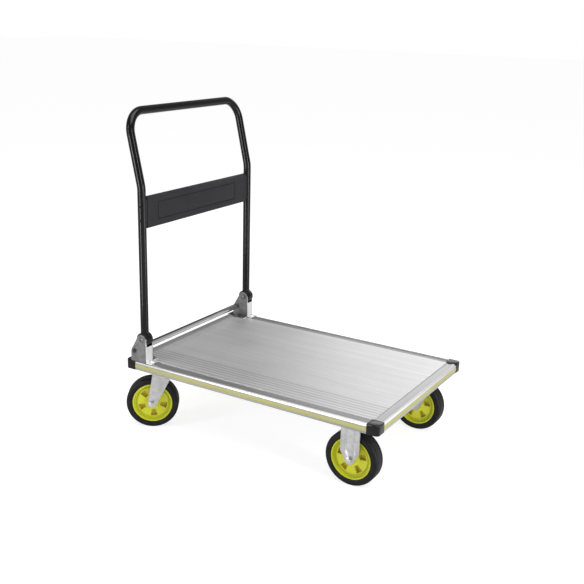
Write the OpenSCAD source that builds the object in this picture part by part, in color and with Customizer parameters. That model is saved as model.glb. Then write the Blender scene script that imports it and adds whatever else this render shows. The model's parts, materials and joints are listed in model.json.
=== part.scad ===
// Folding platform trolley with an extruded aluminium deck, two fixed casters at the front
// and two swivel casters under the handle.
// X runs along the deck with the handle at -X, Y runs across it and Z is up.
// The origin is on the floor, under the middle of the whole outline.

/* [Deck] */
// Length of the deck over its corner caps
deck_l = 910; // [800:5:1200]
// Width of the deck over its corner caps
deck_w = 610; // [560:2:760]
// Height of the loading surface above the floor
deck_h = 235; // [232:1:245]
// Number of planks side by side
plank_count = 6; // [6:1:7]
// Number of anti-slip ribs on one plank
rib_count = 11; // [6:1:16]
// Width of the smooth strip along the long edges
side_strip = 37; // [32:1:40]
// Width of the smooth strip along the short edges
end_strip = 32; // [32:1:40]

/* [Handle] */
// Outside diameter of the handle tube
tube_d = 26; // [22:0.5:28]
// Wall thickness of the handle tube
tube_wall = 1.6; // [1.2:0.1:3]
// Distance between the centre lines of the two uprights
handle_w = 573; // [540:1:573]
// Height of the bend in the uprights above their pivots
bend_h = 488; // [420:1:520]
// Length of the handle above the bend
grip_l = 230; // [180:1:260]
// Angle by which the part above the bend leans back
grip_lean = 12.8; // [0:0.1:20]
// Radius of the two top corners, on the centre line
corner_r = 68; // [50:1:90]
// Height of the cross panel
panel_h = 100; // [60:1:120]

/* [Wheels] */
// Outside diameter of the tyres
wheel_d = 170; // [150:1:172]
// Width of the tyres
tyre_w = 48; // [36:1:50]
// Diameter of the visible part of the rims
rim_d = 130; // [110:1:134]
// Distance of the fixed wheels in front of the deck's middle
front_axle_x = 347; // [300:1:350]
// Distance of the swivel pins behind the deck's middle
swivel_x = 358; // [300:1:358]
// Distance of the casters from the middle line
caster_y = 231; // [200:1:231]
// Horizontal distance from a swivel pin to its axle
trail = 38; // [30:1:45]
// Angle by which the swivel casters are turned outwards
swivel_turn = 33.3; // [0:0.1:40]

/* [Hidden] */

$fn = 64;
eps = 0.5;            // how far a cutting shape reaches past the face that it cuts

// deck section
rail_h = 30;          // height of the edge rails
rail_inset = 1;       // rails stand this far inside the corner caps
rail_box = 30;        // width of the closed box of a rail
rail_wall = 2;
bead_r = 8;           // radius of the rounded top edge
bead_w = 13;          // width of the raised bead
strip_drop = 2;       // the smooth strip lies this far below the ribs
ledge = 5;            // part of the strip that carries the planks
groove_h = 13.5;      // mouth of the groove for the bumper strip
groove_z = 6;         // height of the groove's lower edge in the rail
skin = 1.4;
rib_h = strip_drop - skin;
leg_t = 2;
toe_w = 9;
member_t = 4;
member_w = 116;
cap_l = 38;           // side of a corner cap
cap_r = 12;
cap_proud = 1;
cap_wall = 3;
cap_bevel = 3;

deck_bottom = deck_h - rail_h;
half_l = deck_l / 2;
half_w = deck_w / 2;
plank_l = deck_l - 2 * (rail_inset + end_strip);
planks_w = deck_w - 2 * (rail_inset + side_strip);
plank_w = planks_w / plank_count;
rib_pitch = plank_w / rib_count;

// casters
plate_t = 5;
plate_x = 105;
plate_y = 85;
hole_x = 80;
hole_y = 60;
bolt_r = 4;
fork_t = 3;
fork_gap = 54;        // space between the two legs of a fork
crown_t = 4;
crown_r = 36;
ball_r = 3;
ball_ring_r = 23;
ball_count = 14;
plate_top = deck_bottom;
plate_bottom = plate_top - plate_t;
cup_t = 4;
crown_top = plate_bottom - cup_t - 2 * ball_r - 1;
axle_r = 6;
fit = 0.05;           // radial play of a running fit
axle_z = wheel_d / 2;
shoulder_r = 8;

// the outline's middle lies behind the deck's middle, because the swivel wheels stick out
rear_reach = swivel_x + trail * cos(swivel_turn) + (wheel_d / 2 - shoulder_r) * cos(swivel_turn)
    + (tyre_w / 2 - shoulder_r) * sin(swivel_turn) + shoulder_r;
deck_x = (rear_reach - half_l) / 2;

// hinge
pivot_x = deck_x - 389;
pivot_z = deck_h + 76;
upright_y = handle_w / 2;
cheek_t = 3;
bracket_w = 34;
cheek_r = 18;
cheek_back = 44;      // distance of the cheek's rear edge behind the pivot
wall_h = 54;          // height of the bracket's front wall
pivot_r = 5;
bush_r = 7;
cam_r = 22.5;
cam_w = 26;
tail_r = 44.5;        // reach of the locking tail below the pivot
tail_w = 24;
slot_from = [-16, -15];  // the slot of the release pin lies on the line from here
slot_end = [-35.5, -50.5]; // to here, and ends here
slot_travel = 10;
pin_r = 5;
slot_dir = (slot_end - slot_from) / norm(slot_end - slot_from);
pin_at = slot_end - slot_dir * (slot_travel + 1);
bar_r = 9.5;
bar_half = upright_y - bracket_w / 2 - 5;

// handle
bend_r = 100;
bend_tan = bend_r * tan(grip_lean / 2);
seam_l = 1;           // length of the rings that join the handle's stretches
seam_t = 0.05;        // height of those rings above the tube
tube_foot = 20;       // the tube ends this far above the pivot
grip_straight = grip_l - bend_tan - corner_r;
panel_t = 18;
panel_top = bend_h - 29;
panel_half = upright_y - 17;
panel_notch = 8;

aluminium = [0.75, 0.76, 0.78];
zinc = [0.72, 0.73, 0.75];
bright_steel = [0.82, 0.83, 0.85];
black_plastic = [0.06, 0.06, 0.065];
panel_grey = [0.22, 0.22, 0.24];
black_paint = [0.03, 0.03, 0.035];
rubber = [0.05, 0.05, 0.055];
rim_yellow = [0.78, 0.80, 0.12];
strip_yellow = [0.75, 0.74, 0.38];

// ---------- helpers ----------

// a flat shape whose x is Y and whose y is Z, pushed along X
module along_x(x0, length)
    translate([x0, 0, 0]) rotate([90, 0, 90]) linear_extrude(length) children();

// a flat shape whose x is X and whose y is Z, pushed along Y
module along_y(y0, length)
    translate([0, y0 + length, 0]) rotate([90, 0, 0]) linear_extrude(length) children();

// a round bar along Y
module bar_y(r, y0, y1)
    translate([0, y1, 0]) rotate([90, 0, 0]) cylinder(r = r, h = y1 - y0);

module both_sides()
    for (side = [0, 1]) mirror([0, side, 0]) children();

module hex(r, h)
    cylinder(r = r, h = h, $fn = 6);

module rounded_plate(size_x, size_y, r)
    for (part = [0:2])
        if (part == 0) square([size_x - 2 * r, size_y], center = true);
        else if (part == 1) square([size_x, size_y - 2 * r], center = true);
        else for (x = [-1, 1], y = [-1, 1])
            translate([x * (size_x / 2 - r), y * (size_y / 2 - r)]) circle(r);

// point where a line from p touches a circle of radius r round the origin
function touch(p, r, side) =
    let (a = atan2(p[1], p[0]) + side * acos(r / norm(p))) [r * cos(a), r * sin(a)];

// ---------- deck ----------

// section of an edge rail: x is the distance in from its outer face, y is the height
module rail_section(strip)
    difference() {
        union() {
            translate([0, deck_bottom]) square([rail_box, rail_h - bead_r]);
            translate([bead_r, deck_h - bead_r]) circle(bead_r);
            translate([bead_r, deck_bottom]) square([bead_w - bead_r, rail_h]);
            translate([bead_r, deck_bottom]) square([rail_box - bead_r, rail_h - strip_drop]);
            translate([bead_r, deck_h - strip_drop - rail_wall])
                square([strip + ledge - bead_r, rail_wall]);
        }
        translate([rail_wall * 3 + 0.5, deck_bottom + rail_wall])
            square([rail_box - rail_wall * 4 - 0.5, rail_h - strip_drop - 2 * rail_wall]);
        translate([-eps, deck_bottom + groove_z]) square([3 + eps, groove_h]);
        translate([rail_wall, deck_bottom + groove_z - 1.6]) square([2.6, groove_h + 3.2]);
    }

module side_rail()
    color(aluminium)
        along_x(deck_x - half_l + cap_l, deck_l - 2 * cap_l)
            translate([-half_w + rail_inset, 0]) rail_section(side_strip);

module end_rail()
    color(aluminium)
        along_y(-half_w + cap_l, deck_w - 2 * cap_l)
            translate([-half_l + rail_inset, 0]) rail_section(end_strip);

module bumper_section() {
    mid = deck_bottom + groove_z + groove_h / 2;
    crown = 0.9;
    face_r = 18;
    intersection() {
        translate([face_r - crown, mid]) circle(face_r);
        translate([-2, mid - groove_h / 2 + 0.1]) square([4.5, groove_h - 0.2]);
    }
    translate([rail_wall + 0.1, mid - groove_h / 2 - 1.4]) square([2.3, groove_h + 2.8]);
}

module side_bumper()
    color(strip_yellow)
        along_x(deck_x - half_l + cap_l, deck_l - 2 * cap_l)
            translate([-half_w + rail_inset, 0]) bumper_section();

module end_bumper()
    color(strip_yellow)
        along_y(-half_w + cap_l, deck_w - 2 * cap_l)
            translate([-half_l + rail_inset, 0]) bumper_section();

// outline of a plank's ribbed skin, from y = 0 to the plank's width
function ribbed_skin() = concat(
    [[0, deck_h - strip_drop], [0, deck_h - rib_h]],
    [for (i = [0:rib_count - 1], p = [[0.16, 0], [0.24, rib_h], [0.76, rib_h], [0.84, 0]])
        [(i + p[0]) * rib_pitch, deck_h - rib_h + p[1]]],
    [[plank_w, deck_h - rib_h], [plank_w, deck_h - strip_drop]]);

// i counts from the left (-Y) edge; the outermost legs stand clear of the rail's ledge
module deck_plank(i) {
    y0 = -planks_w / 2 + (i - 1) * plank_w;
    inboard = 23;
    left = i == 1 ? inboard : 0;
    right = i == plank_count ? inboard : 0;
    leg_bottom = deck_bottom + member_t;
    leg_h = rail_h - strip_drop - member_t;
    leg_l = plank_l - 2 * ledge - 1;
    color(aluminium) {
        along_x(deck_x - plank_l / 2, plank_l)
            translate([y0, 0]) polygon(ribbed_skin());
        along_x(deck_x - leg_l / 2, leg_l)
            translate([y0, 0]) {
                translate([left, leg_bottom]) square([leg_t, leg_h]);
                translate([left, leg_bottom]) square([toe_w, leg_t]);
                translate([plank_w - right - leg_t, leg_bottom]) square([leg_t, leg_h]);
                translate([plank_w - right - toe_w, leg_bottom]) square([toe_w, leg_t]);
                translate([(plank_w + left - right) / 2 - 1, leg_bottom]) square([leg_t, leg_h]);
            }
    }
}

// a cap for the corner at +X +Y of a deck whose middle is at the origin
module corner_cap() {
    z0 = deck_bottom - 0.5;
    z1 = deck_h + cap_proud;
    inner_x = half_l - cap_l;
    inner_y = half_w - cap_l;
    cavity_x = half_l - rail_inset - rail_box + rail_wall;
    cavity_y = half_w - rail_inset - rail_box + rail_wall;
    cavity_w = rail_box - rail_wall * 4 - 0.5;
    cavity_h = rail_h - strip_drop - 2 * rail_wall;
    color(black_plastic) {
        difference() {
            union() {
                along_x(inner_x, cap_l - cap_r)
                    polygon([[inner_y, z0], [half_w, z0], [half_w, z1 - cap_bevel],
                             [half_w - cap_bevel, z1], [inner_y, z1]]);
                along_y(inner_y, cap_l - cap_r)
                    polygon([[inner_x, z0], [half_l, z0], [half_l, z1 - cap_bevel],
                             [half_l - cap_bevel, z1], [inner_x, z1]]);
                translate([half_l - cap_r, half_w - cap_r, 0])
                    rotate_extrude()
                        polygon([[0, z0], [cap_r, z0], [cap_r, z1 - cap_bevel],
                                 [cap_r - cap_bevel, z1], [0, z1]]);
            }
            translate([inner_x + cap_wall, inner_y + cap_wall, z0 - eps])
                cube([cap_l - 2 * cap_wall, cap_l - 2 * cap_wall, z1 - z0 - cap_bevel - cap_wall + eps]);
        }
        translate([inner_x - 12, cavity_y + 0.2, deck_bottom + rail_wall + 0.2])
            cube([12 + eps, cavity_w - 0.4, cavity_h - 0.4]);
        translate([cavity_x + 0.2, inner_y - 12, deck_bottom + rail_wall + 0.2])
            cube([cavity_w - 0.4, 12 + eps, cavity_h - 0.4]);
    }
}

module cap_at(front, right)
    translate([deck_x, 0, 0]) mirror([front ? 0 : 1, 0, 0]) mirror([0, right ? 0 : 1, 0]) corner_cap();

// a rear cap stands proud of the deck, so it has a flat recess under the hinge bracket
module rear_cap(right)
    difference() {
        cap_at(false, right);
        mirror([0, right ? 0 : 1, 0])
            translate([pivot_x - cheek_back - 0.3, upright_y - bracket_w / 2 - 0.3, deck_h])
                cube([cheek_back, bracket_w + 0.6, cap_proud + eps]);
    }

module cross_member(middle_x)
    color(zinc)
        difference() {
            translate([middle_x - member_w / 2, -half_w + rail_inset + rail_box + 0.3, deck_bottom])
                cube([member_w, deck_w - 2 * (rail_inset + rail_box + 0.3), member_t]);
            caster_holes(middle_x, bolt_r);
        }

// ---------- caster mounting ----------

module caster_holes(middle_x, r)
    for (side = [-1, 1], x = [-1, 1], y = [-1, 1])
        translate([middle_x + x * hole_x / 2, side * caster_y + y * hole_y / 2, plate_bottom - eps])
            cylinder(r = r, h = plate_t + member_t + 2 * eps);

module at_each_caster_bolt()
    for (middle_x = [deck_x + front_axle_x, deck_x - swivel_x], side = [-1, 1], x = [-1, 1], y = [-1, 1])
        translate([middle_x + x * hole_x / 2, side * caster_y + y * hole_y / 2, 0]) children();

module caster_bolts()
    color(bright_steel)
        at_each_caster_bolt() {
            translate([0, 0, plate_bottom - 5.3]) hex(7.5, 5.3);
            translate([0, 0, plate_bottom - 1]) cylinder(r = bolt_r - fit, h = 18);
        }

// one bolt in the front foot of each bracket and two in its inner foot
bracket_bolt_at = [[pivot_x + 29, upright_y], [pivot_x - 19, upright_y - 33.5], [pivot_x + 5, upright_y - 33.5]];

module at_each_bracket_bolt()
    both_sides()
        for (p = bracket_bolt_at) translate([p[0], p[1], 0]) children();

module bracket_bolts()
    color(bright_steel)
        at_each_bracket_bolt() {
            translate([0, 0, deck_h + cheek_t])
                difference() {
                    cylinder(r1 = 7, r2 = 5, h = 2.4);
                    translate([0, 0, 1]) hex(2.9, 2.4);
                }
            translate([0, 0, deck_h + cheek_t - 16]) cylinder(r = bolt_r - fit, h = 16.6);
        }

module m8_nut()
    difference() {
        rotate([0, 0, 30]) hex(7.5, 6.5);
        translate([0, 0, -eps]) cylinder(r = bolt_r, h = 6.5 + 2 * eps);
    }

module deck_nuts()
    color(bright_steel) {
        at_each_caster_bolt() translate([0, 0, deck_bottom + member_t]) m8_nut();
        both_sides()
            for (i = [0:2])
                translate([bracket_bolt_at[i][0], bracket_bolt_at[i][1], deck_h - strip_drop - 6.5 - (i == 0 ? rail_wall : 0)])
                    m8_nut();
    }

// holes for the bracket bolts through the rails, planks and feet
module bracket_holes(top)
    at_each_bracket_bolt()
        translate([0, 0, deck_h - 6]) cylinder(r = bolt_r, h = top + 6);

module drilled()
    difference() {
        children();
        bracket_holes(1);
    }

// ---------- hinge bracket, right side (+Y) ----------

// side cheek, drawn round the pivot: x is X and y is Z
module cheek_outline() {
    foot = -(pivot_z - deck_h);
    rear = [-cheek_back + 1.5, -38];
    lean = touch(rear, cheek_r, -1);
    difference() {
        union() {
            circle(cheek_r);
            polygon([[cheek_r, 0], [cheek_r, foot], [-cheek_back, foot], rear, lean, [0, 0]]);
        }
        circle(pivot_r + fit);
        release_slot();
    }
}

// the slot is as long as the pin's travel
module release_slot() {
    across = [-slot_dir[1], slot_dir[0]] * (pin_r + 0.3);
    translate(pin_at) circle(pin_r + 0.3);
    translate(slot_end) circle(pin_r + 0.3);
    polygon([pin_at + across, slot_end + across, slot_end - across, pin_at - across]);
}

module hinge_bracket() {
    inner = upright_y - bracket_w / 2;
    outer = upright_y + bracket_w / 2;
    color(zinc)
        difference() {
            union() {
                for (y = [inner, outer - cheek_t])
                    translate([pivot_x, 0, pivot_z]) along_y(y, cheek_t) cheek_outline();
                translate([pivot_x + cheek_r - cheek_t, inner, deck_h]) cube([cheek_t, bracket_w, wall_h]);
                translate([pivot_x - cheek_back, inner, deck_h])
                    cube([cheek_back + cheek_r + 22, bracket_w - 1, cheek_t]);
                translate([pivot_x - 32, inner - 24, deck_h]) cube([50, 24 + eps, cheek_t]);
            }
            bracket_holes(cheek_t + 1);
        }
}

module pivot_bolts()
    color(bright_steel)
        both_sides()
            translate([pivot_x, upright_y, pivot_z]) {
                outer = bracket_w / 2;
                bar_y(pivot_r, -outer - 8, outer + 1);
                difference() {
                    translate([0, outer, 0]) rotate([-90, 0, 0]) cylinder(r1 = 8.5, r2 = 6, h = 4.2);
                    translate([0, outer + 1.4, 0]) rotate([-90, 0, 0]) hex(3.4, 4);
                }
                difference() {
                    translate([0, -outer - 6.5, 0]) rotate([-90, 30, 0]) hex(9, 6.5);
                    bar_y(pivot_r + 0.02, -outer - 7, -outer + eps);
                }
            }

// ---------- handle ----------

// a thin ring that joins two stretches of the handle's path, across the face where they meet
module seam(r)
    translate([0, 0, -seam_l / 2]) cylinder(r = r + seam_t, h = seam_l);

// half of the handle's path, as a solid of radius r: upright, bend, lean, corner and half the grip
module handle_half(r, foot) {
    translate([pivot_x, upright_y, pivot_z + foot]) cylinder(r = r, h = bend_h - bend_tan - foot);
    translate([pivot_x - bend_r, upright_y, pivot_z + bend_h - bend_tan])
        rotate([90, 0, 0]) rotate_extrude(angle = grip_lean) translate([bend_r, 0]) circle(r);
    translate([pivot_x, upright_y, pivot_z + bend_h]) rotate([0, -grip_lean, 0]) {
        translate([0, 0, bend_tan]) cylinder(r = r, h = grip_straight);
        translate([0, 0, bend_tan]) seam(r);
        translate([0, 0, bend_tan + grip_straight]) seam(r);
        translate([0, -corner_r, grip_l - corner_r])
            rotate([0, -90, 0]) rotate_extrude(angle = 90) translate([corner_r, 0]) circle(r);
        translate([0, -upright_y, grip_l])
            rotate([-90, 0, 0]) {
                cylinder(r = r, h = upright_y - corner_r);
                seam(r);
            }
    }
}

panel_screw_z = [panel_top - 28, panel_top - panel_h + 28];

module handle_tube()
    color(black_paint)
        difference() {
            both_sides() handle_half(tube_d / 2, tube_foot);
            both_sides() handle_half(tube_d / 2 - tube_wall, tube_foot - eps);
            for (z = panel_screw_z) translate([pivot_x, 0, pivot_z + z])
                bar_y(2.4, -upright_y - tube_d, upright_y + tube_d);
            translate([pivot_x, 0, pivot_z + tube_foot + 12])
                bar_y(3, -upright_y - tube_d, upright_y + tube_d);
            head_seats();
        }

// flat seats in the tube under the heads of the panel screws and foot rivets
module head_seats()
    both_sides() translate([pivot_x, upright_y, pivot_z]) {
        for (z = panel_screw_z) translate([0, 0, z]) bar_y(4.55, tube_d / 2 - 0.4, tube_d / 2 + 3);
        translate([0, 0, tube_foot + 12])
            for (y = [-tube_d / 2 - 3, tube_d / 2 - 0.4]) bar_y(4.45, y, y + 3.4);
    }

module cross_panel()
    color(panel_grey)
        difference() {
            union() {
                translate([pivot_x - panel_t / 2, -panel_half, pivot_z + panel_top - panel_h])
                    cube([panel_t, 2 * panel_half, panel_h]);
                translate([pivot_x - panel_t / 2 + 2, -upright_y, pivot_z + panel_top - panel_h + panel_notch])
                    cube([panel_t - 4, 2 * upright_y, panel_h - 2 * panel_notch]);
            }
            both_sides()
                translate([pivot_x, upright_y, pivot_z + panel_top - panel_h - eps])
                    cylinder(r = tube_d / 2, h = panel_h + 2 * eps);
            for (z = panel_screw_z) translate([pivot_x, 0, pivot_z + z]) {
                bar_y(2.4, panel_half - 12, upright_y);
                bar_y(2.4, -upright_y, -panel_half + 12);
            }
        }

module panel_screws()
    color(bright_steel)
        both_sides()
            for (z = panel_screw_z) translate([pivot_x, 0, pivot_z + z]) {
                bar_y(2.3, panel_half - 10, upright_y + tube_d / 2 + 1);
                bar_y(4.5, upright_y + tube_d / 2 - 0.4, upright_y + tube_d / 2 + 2.4);
            }

module cam_foot()
    color(black_plastic)
        translate([pivot_x, upright_y, pivot_z])
            difference() {
                union() {
                    bar_y(cam_r, -cam_w / 2, cam_w / 2);
                    intersection() {
                        bar_y(tail_r, -cam_w / 2, cam_w / 2);
                        translate([-tail_w / 2, -cam_w / 2, -tail_r - 1]) cube([tail_w, cam_w, tail_r]);
                    }
                    translate([0, 0, 10]) cylinder(r = tube_d / 2 - tube_wall, h = tube_foot + 18);
                }
                bar_y(bush_r, -cam_w, cam_w);
                translate([0, 0, tube_foot + 12]) bar_y(3, -cam_w, cam_w);
                difference() {
                    translate([0, 0, tube_foot]) cylinder(r = tube_d / 2 + 2, h = 10);
                    cylinder(r = tube_d / 2 - tube_wall, h = 60);
                }
                translate([pin_at[0], 0, pin_at[1]]) bar_y(pin_r + 3.5, -cam_w, cam_w);
            }

module pivot_bushes()
    color(bright_steel)
        both_sides()
            translate([pivot_x, upright_y, pivot_z])
                difference() {
                    bar_y(bush_r, -cam_w / 2 - 0.4, cam_w / 2 + 0.4);
                    bar_y(pivot_r + fit, -cam_w, cam_w);
                }

module foot_rivets()
    color(bright_steel)
        both_sides()
            translate([pivot_x, upright_y, pivot_z + tube_foot + 12]) {
                bar_y(2.9, -tube_d / 2 - 1, tube_d / 2 + 1);
                for (y = [-tube_d / 2 - 1.6, tube_d / 2 - 0.4]) bar_y(4.4, y, y + 2);
            }

// ---------- release bar ----------

module release_bar()
    color(bright_steel)
        translate([pivot_x + pin_at[0], 0, pivot_z + pin_at[1]])
            difference() {
                bar_y(bar_r, -bar_half, bar_half);
                bar_y(bar_r - 1.5, -bar_half + 3, bar_half - 3);
                bar_y(pin_r, -half_w, half_w);
            }

module release_pin() {
    reach = upright_y + bracket_w / 2;
    color(bright_steel)
        translate([pivot_x + pin_at[0], 0, pivot_z + pin_at[1]]) {
            bar_y(pin_r, -reach - 4, reach + 4);
            both_sides() bar_y(pin_r + 2.5, reach + 0.6, reach + 2.4);
        }
}

module release_springs()
    color(bright_steel)
        both_sides()
            translate([pivot_x + pin_at[0], upright_y, deck_h + cheek_t])
                difference() {
                    cylinder(r = 7, h = pivot_z + pin_at[1] - pin_r - deck_h - cheek_t);
                    translate([0, 0, -eps]) cylinder(r = 5, h = 60);
                }

// ---------- fixed casters ----------

// a fork leg, drawn round the axle: straight sides that run in to a round foot
module fixed_leg_outline() {
    half = 31;
    knee = 26;
    foot_r = 15;
    top = plate_bottom - axle_z + 1;
    left = touch([-half, knee], foot_r, 1);
    right = touch([half, knee], foot_r, -1);
    difference() {
        union() {
            circle(foot_r);
            polygon([[-half, top], [-half, knee], left, [0, 0], right, [half, knee], [half, top]]);
        }
        circle(axle_r + 0.02);
    }
}

module mounting_plate() {
    translate([0, 0, plate_bottom])
        linear_extrude(plate_t)
            difference() {
                rounded_plate(plate_x, plate_y, 8);
                for (x = [-1, 1], y = [-1, 1])
                    translate([x * hole_x / 2, y * hole_y / 2]) circle(bolt_r);
            }
}

module fixed_fork()
    color(zinc)
        translate([deck_x + front_axle_x, caster_y, 0]) {
            mounting_plate();
            for (y = [-fork_gap / 2 - fork_t, fork_gap / 2])
                translate([0, 0, axle_z]) along_y(y, fork_t) fixed_leg_outline();
        }

// axle bolt and nut round the origin, along Y
module axle_bolt() {
    outer = fork_gap / 2 + fork_t;
    bar_y(axle_r, -outer - 9, outer + 1);
    translate([0, outer, 0]) rotate([-90, 0, 0]) hex(10, 6);
    difference() {
        translate([0, -outer, 0]) rotate([90, 0, 0]) hex(10, 7);
        bar_y(axle_r + 0.02, -outer - 8, -outer + eps);
    }
}

module front_axle_bolts()
    color(bright_steel)
        both_sides()
            translate([deck_x + front_axle_x, caster_y, axle_z]) mirror([0, 1, 0]) axle_bolt();

// ---------- swivel casters, right side (+Y) ----------

// places a shape that is drawn round the swivel pin and points back along -X
module turned()
    translate([deck_x - swivel_x, caster_y, 0]) rotate([0, 0, -swivel_turn]) children();

module swivel_plate()
    color(zinc)
        translate([deck_x - swivel_x, caster_y, 0])
            difference() {
                union() {
                    mounting_plate();
                    translate([0, 0, plate_bottom - cup_t]) cylinder(r = 31, h = cup_t + 1);
                    translate([0, 0, plate_bottom - cup_t - 5])
                        difference() {
                            cylinder(r = 31, h = 6);
                            translate([0, 0, -eps]) cylinder(r = 28.5, h = 7);
                        }
                }
                translate([0, 0, plate_bottom - 20]) cylinder(r = axle_r + fit, h = 40);
            }

module kingpins()
    color(bright_steel)
        both_sides()
            translate([deck_x - swivel_x, caster_y, 0]) {
                translate([0, 0, crown_top - crown_t - 7.3]) hex(10, 7);
                translate([0, 0, crown_top - crown_t - 7]) cylinder(r = axle_r, h = plate_top - crown_top + crown_t + 6);
            }

module swivel_balls()
    color(bright_steel)
        both_sides()
            translate([deck_x - swivel_x, caster_y, plate_bottom - cup_t - ball_r])
                for (i = [0:ball_count - 1])
                    rotate([0, 0, i * 360 / ball_count]) translate([ball_ring_r, 0, 0]) sphere(ball_r);

// a fork leg, drawn round the axle; the swivel pin stands at x = trail
module swivel_leg_outline() {
    foot_r = 14;
    top = crown_top - axle_z;
    rear = [trail - 35, top];
    front = [trail + 30, top];
    left = touch(rear, foot_r, 1);
    right = touch(front, foot_r, -1);
    difference() {
        union() {
            circle(foot_r);
            polygon([rear, left, [0, 0], right, front]);
        }
        circle(axle_r + 0.02);
    }
}

module swivel_fork()
    color(zinc)
        turned()
            difference() {
                union() {
                    for (y = [-fork_gap / 2 - fork_t, fork_gap / 2])
                        translate([-trail, 0, axle_z]) along_y(y, fork_t) swivel_leg_outline();
                    translate([0, 0, crown_top - crown_t]) linear_extrude(crown_t)
                        intersection() {
                            circle(crown_r);
                            translate([-crown_r, -fork_gap / 2 - fork_t])
                                square([2 * crown_r, fork_gap + 2 * fork_t]);
                        }
                    translate([0, 0, crown_top - eps])
                        difference() {
                            cylinder(r = 26, h = 0.5 + eps);
                            translate([0, 0, -eps]) cylinder(r = 20, h = 2);
                        }
                }
                translate([0, 0, crown_top - 20]) cylinder(r = axle_r + fit, h = 40);
            }

module axle_bolt_rear()
    color(bright_steel)
        turned() translate([-trail, 0, axle_z]) mirror([0, 1, 0]) axle_bolt();

// ---------- wheels, drawn round the origin with the axle along Y ----------

rim_r = rim_d / 2;
rim_half = tyre_w / 2 - 2;
keel_r = 3.5;         // the rim's rib that keys into the tyre
keel_half = 8;
hub_r = 20;
bearing_r = 14;
bearing_w = 10;
hub_half = fork_gap / 2 - 1;

module lathe_y()
    rotate([90, 0, 0]) rotate_extrude() children();

module tyre()
    color(rubber)
        lathe_y()
            difference() {
                union() {
                    translate([rim_r, -tyre_w / 2]) square([wheel_d / 2 - rim_r - shoulder_r, tyre_w]);
                    translate([rim_r, -tyre_w / 2 + shoulder_r])
                        square([wheel_d / 2 - rim_r, tyre_w - 2 * shoulder_r]);
                    for (y = [-1, 1])
                        translate([wheel_d / 2 - shoulder_r, y * (tyre_w / 2 - shoulder_r)]) circle(shoulder_r);
                }
                translate([rim_r - eps, -keel_half]) square([keel_r + eps, 2 * keel_half]);
                for (y = [-1, 1])
                    translate([wheel_d / 2, y * (tyre_w / 2 - shoulder_r - 3)]) circle(1.2);
            }

// a pocket between two spokes, seen along the axle
module pocket_outline() {
    near = 27;
    far = 48;
    open = 15;
    polygon([[near * cos(open), -near * sin(open)], [far * cos(open), -far * sin(open)], [far, 0],
             [far * cos(open), far * sin(open)], [near * cos(open), near * sin(open)]]);
}

// turn is the angle by which the wheel stands turned on its axle
module rim(turn)
    color(rim_yellow)
        difference() {
            union() {
                lathe_y() {
                    translate([rim_r - 7, -rim_half]) square([7, 2 * rim_half]);
                    translate([rim_r - 3, -keel_half]) square([3 + keel_r, 2 * keel_half]);
                    translate([bearing_r - 1, -10]) square([rim_r - 7 - bearing_r + 2, 20]);
                    translate([axle_r + 3, -hub_half]) square([hub_r - axle_r - 3, 2 * hub_half]);
                }
            }
            bar_y(axle_r + 3, -tyre_w, tyre_w);
            for (y = [-1, 1])
                translate([0, y * (hub_half - bearing_w / 2), 0])
                    bar_y(bearing_r, -bearing_w / 2 - (y < 0 ? eps : 0), bearing_w / 2 + (y > 0 ? eps : 0));
            for (i = [0:4], y = [4, -12])
                rotate([0, i * 72 + turn, 0]) along_y(y, 8) pocket_outline();
        }

module bearings()
    color(bright_steel)
        for (y = [-hub_half, hub_half - bearing_w])
            lathe_y()
                translate([axle_r + fit, y]) square([bearing_r - axle_r - fit, bearing_w]);

module at_front(side)
    translate([deck_x + front_axle_x, side * caster_y, axle_z]) children();

module at_rear(side)
    mirror([0, side > 0 ? 0 : 1, 0]) turned() translate([-trail, 0, axle_z]) children();

// ---------- the pieces ----------

drilled() side_rail();  // side_rail_left
drilled() mirror([0, 1, 0]) side_rail();  // side_rail_right
translate([deck_x, 0, 0]) mirror([1, 0, 0]) end_rail();  // end_rail_front
translate([deck_x, 0, 0]) end_rail();  // end_rail_rear
for (i = [1:plank_count])
    drilled() deck_plank(i);
cap_at(true, false);  // corner_cap_front_left
cap_at(true, true);  // corner_cap_front_right
rear_cap(false);  // corner_cap_rear_left
rear_cap(true);  // corner_cap_rear_right
side_bumper();  // bumper_strip_left
mirror([0, 1, 0]) side_bumper();  // bumper_strip_right
translate([deck_x, 0, 0]) mirror([1, 0, 0]) end_bumper();  // bumper_strip_front
translate([deck_x, 0, 0]) end_bumper();  // bumper_strip_rear
cross_member(deck_x + front_axle_x);  // cross_member_front
cross_member(deck_x - swivel_x);  // cross_member_rear
mirror([0, 1, 0]) hinge_bracket();  // hinge_bracket_left
hinge_bracket();  // hinge_bracket_right
bracket_bolts();
pivot_bolts();
mirror([0, 1, 0]) fixed_fork();  // fixed_fork_left
fixed_fork();  // fixed_fork_right
front_axle_bolts();
mirror([0, 1, 0]) swivel_plate();  // swivel_plate_left
swivel_plate();  // swivel_plate_right
kingpins();
swivel_balls();
caster_bolts();
deck_nuts();
release_springs();
handle_tube();
cross_panel();
panel_screws();
mirror([0, 1, 0]) cam_foot();  // cam_foot_left
cam_foot();  // cam_foot_right
pivot_bushes();
foot_rivets();
release_bar();
release_pin();
mirror([0, 1, 0]) swivel_fork();  // swivel_fork_left
swivel_fork();  // swivel_fork_right
mirror([0, 1, 0]) axle_bolt_rear();  // axle_bolt_rear_left
axle_bolt_rear();  // axle_bolt_rear_right
at_front(-1) rim(54);  // rim_front_left
at_front(1) rim(54);  // rim_front_right
at_rear(-1) rim(84);  // rim_rear_left
at_rear(1) rim(84);  // rim_rear_right
at_front(-1) tyre();  // tyre_front_left
at_front(1) tyre();  // tyre_front_right
at_rear(-1) tyre();  // tyre_rear_left
at_rear(1) tyre();  // tyre_rear_right
at_front(-1) bearings();  // bearings_front_left
at_front(1) bearings();  // bearings_front_right
at_rear(-1) bearings();  // bearings_rear_left
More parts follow.
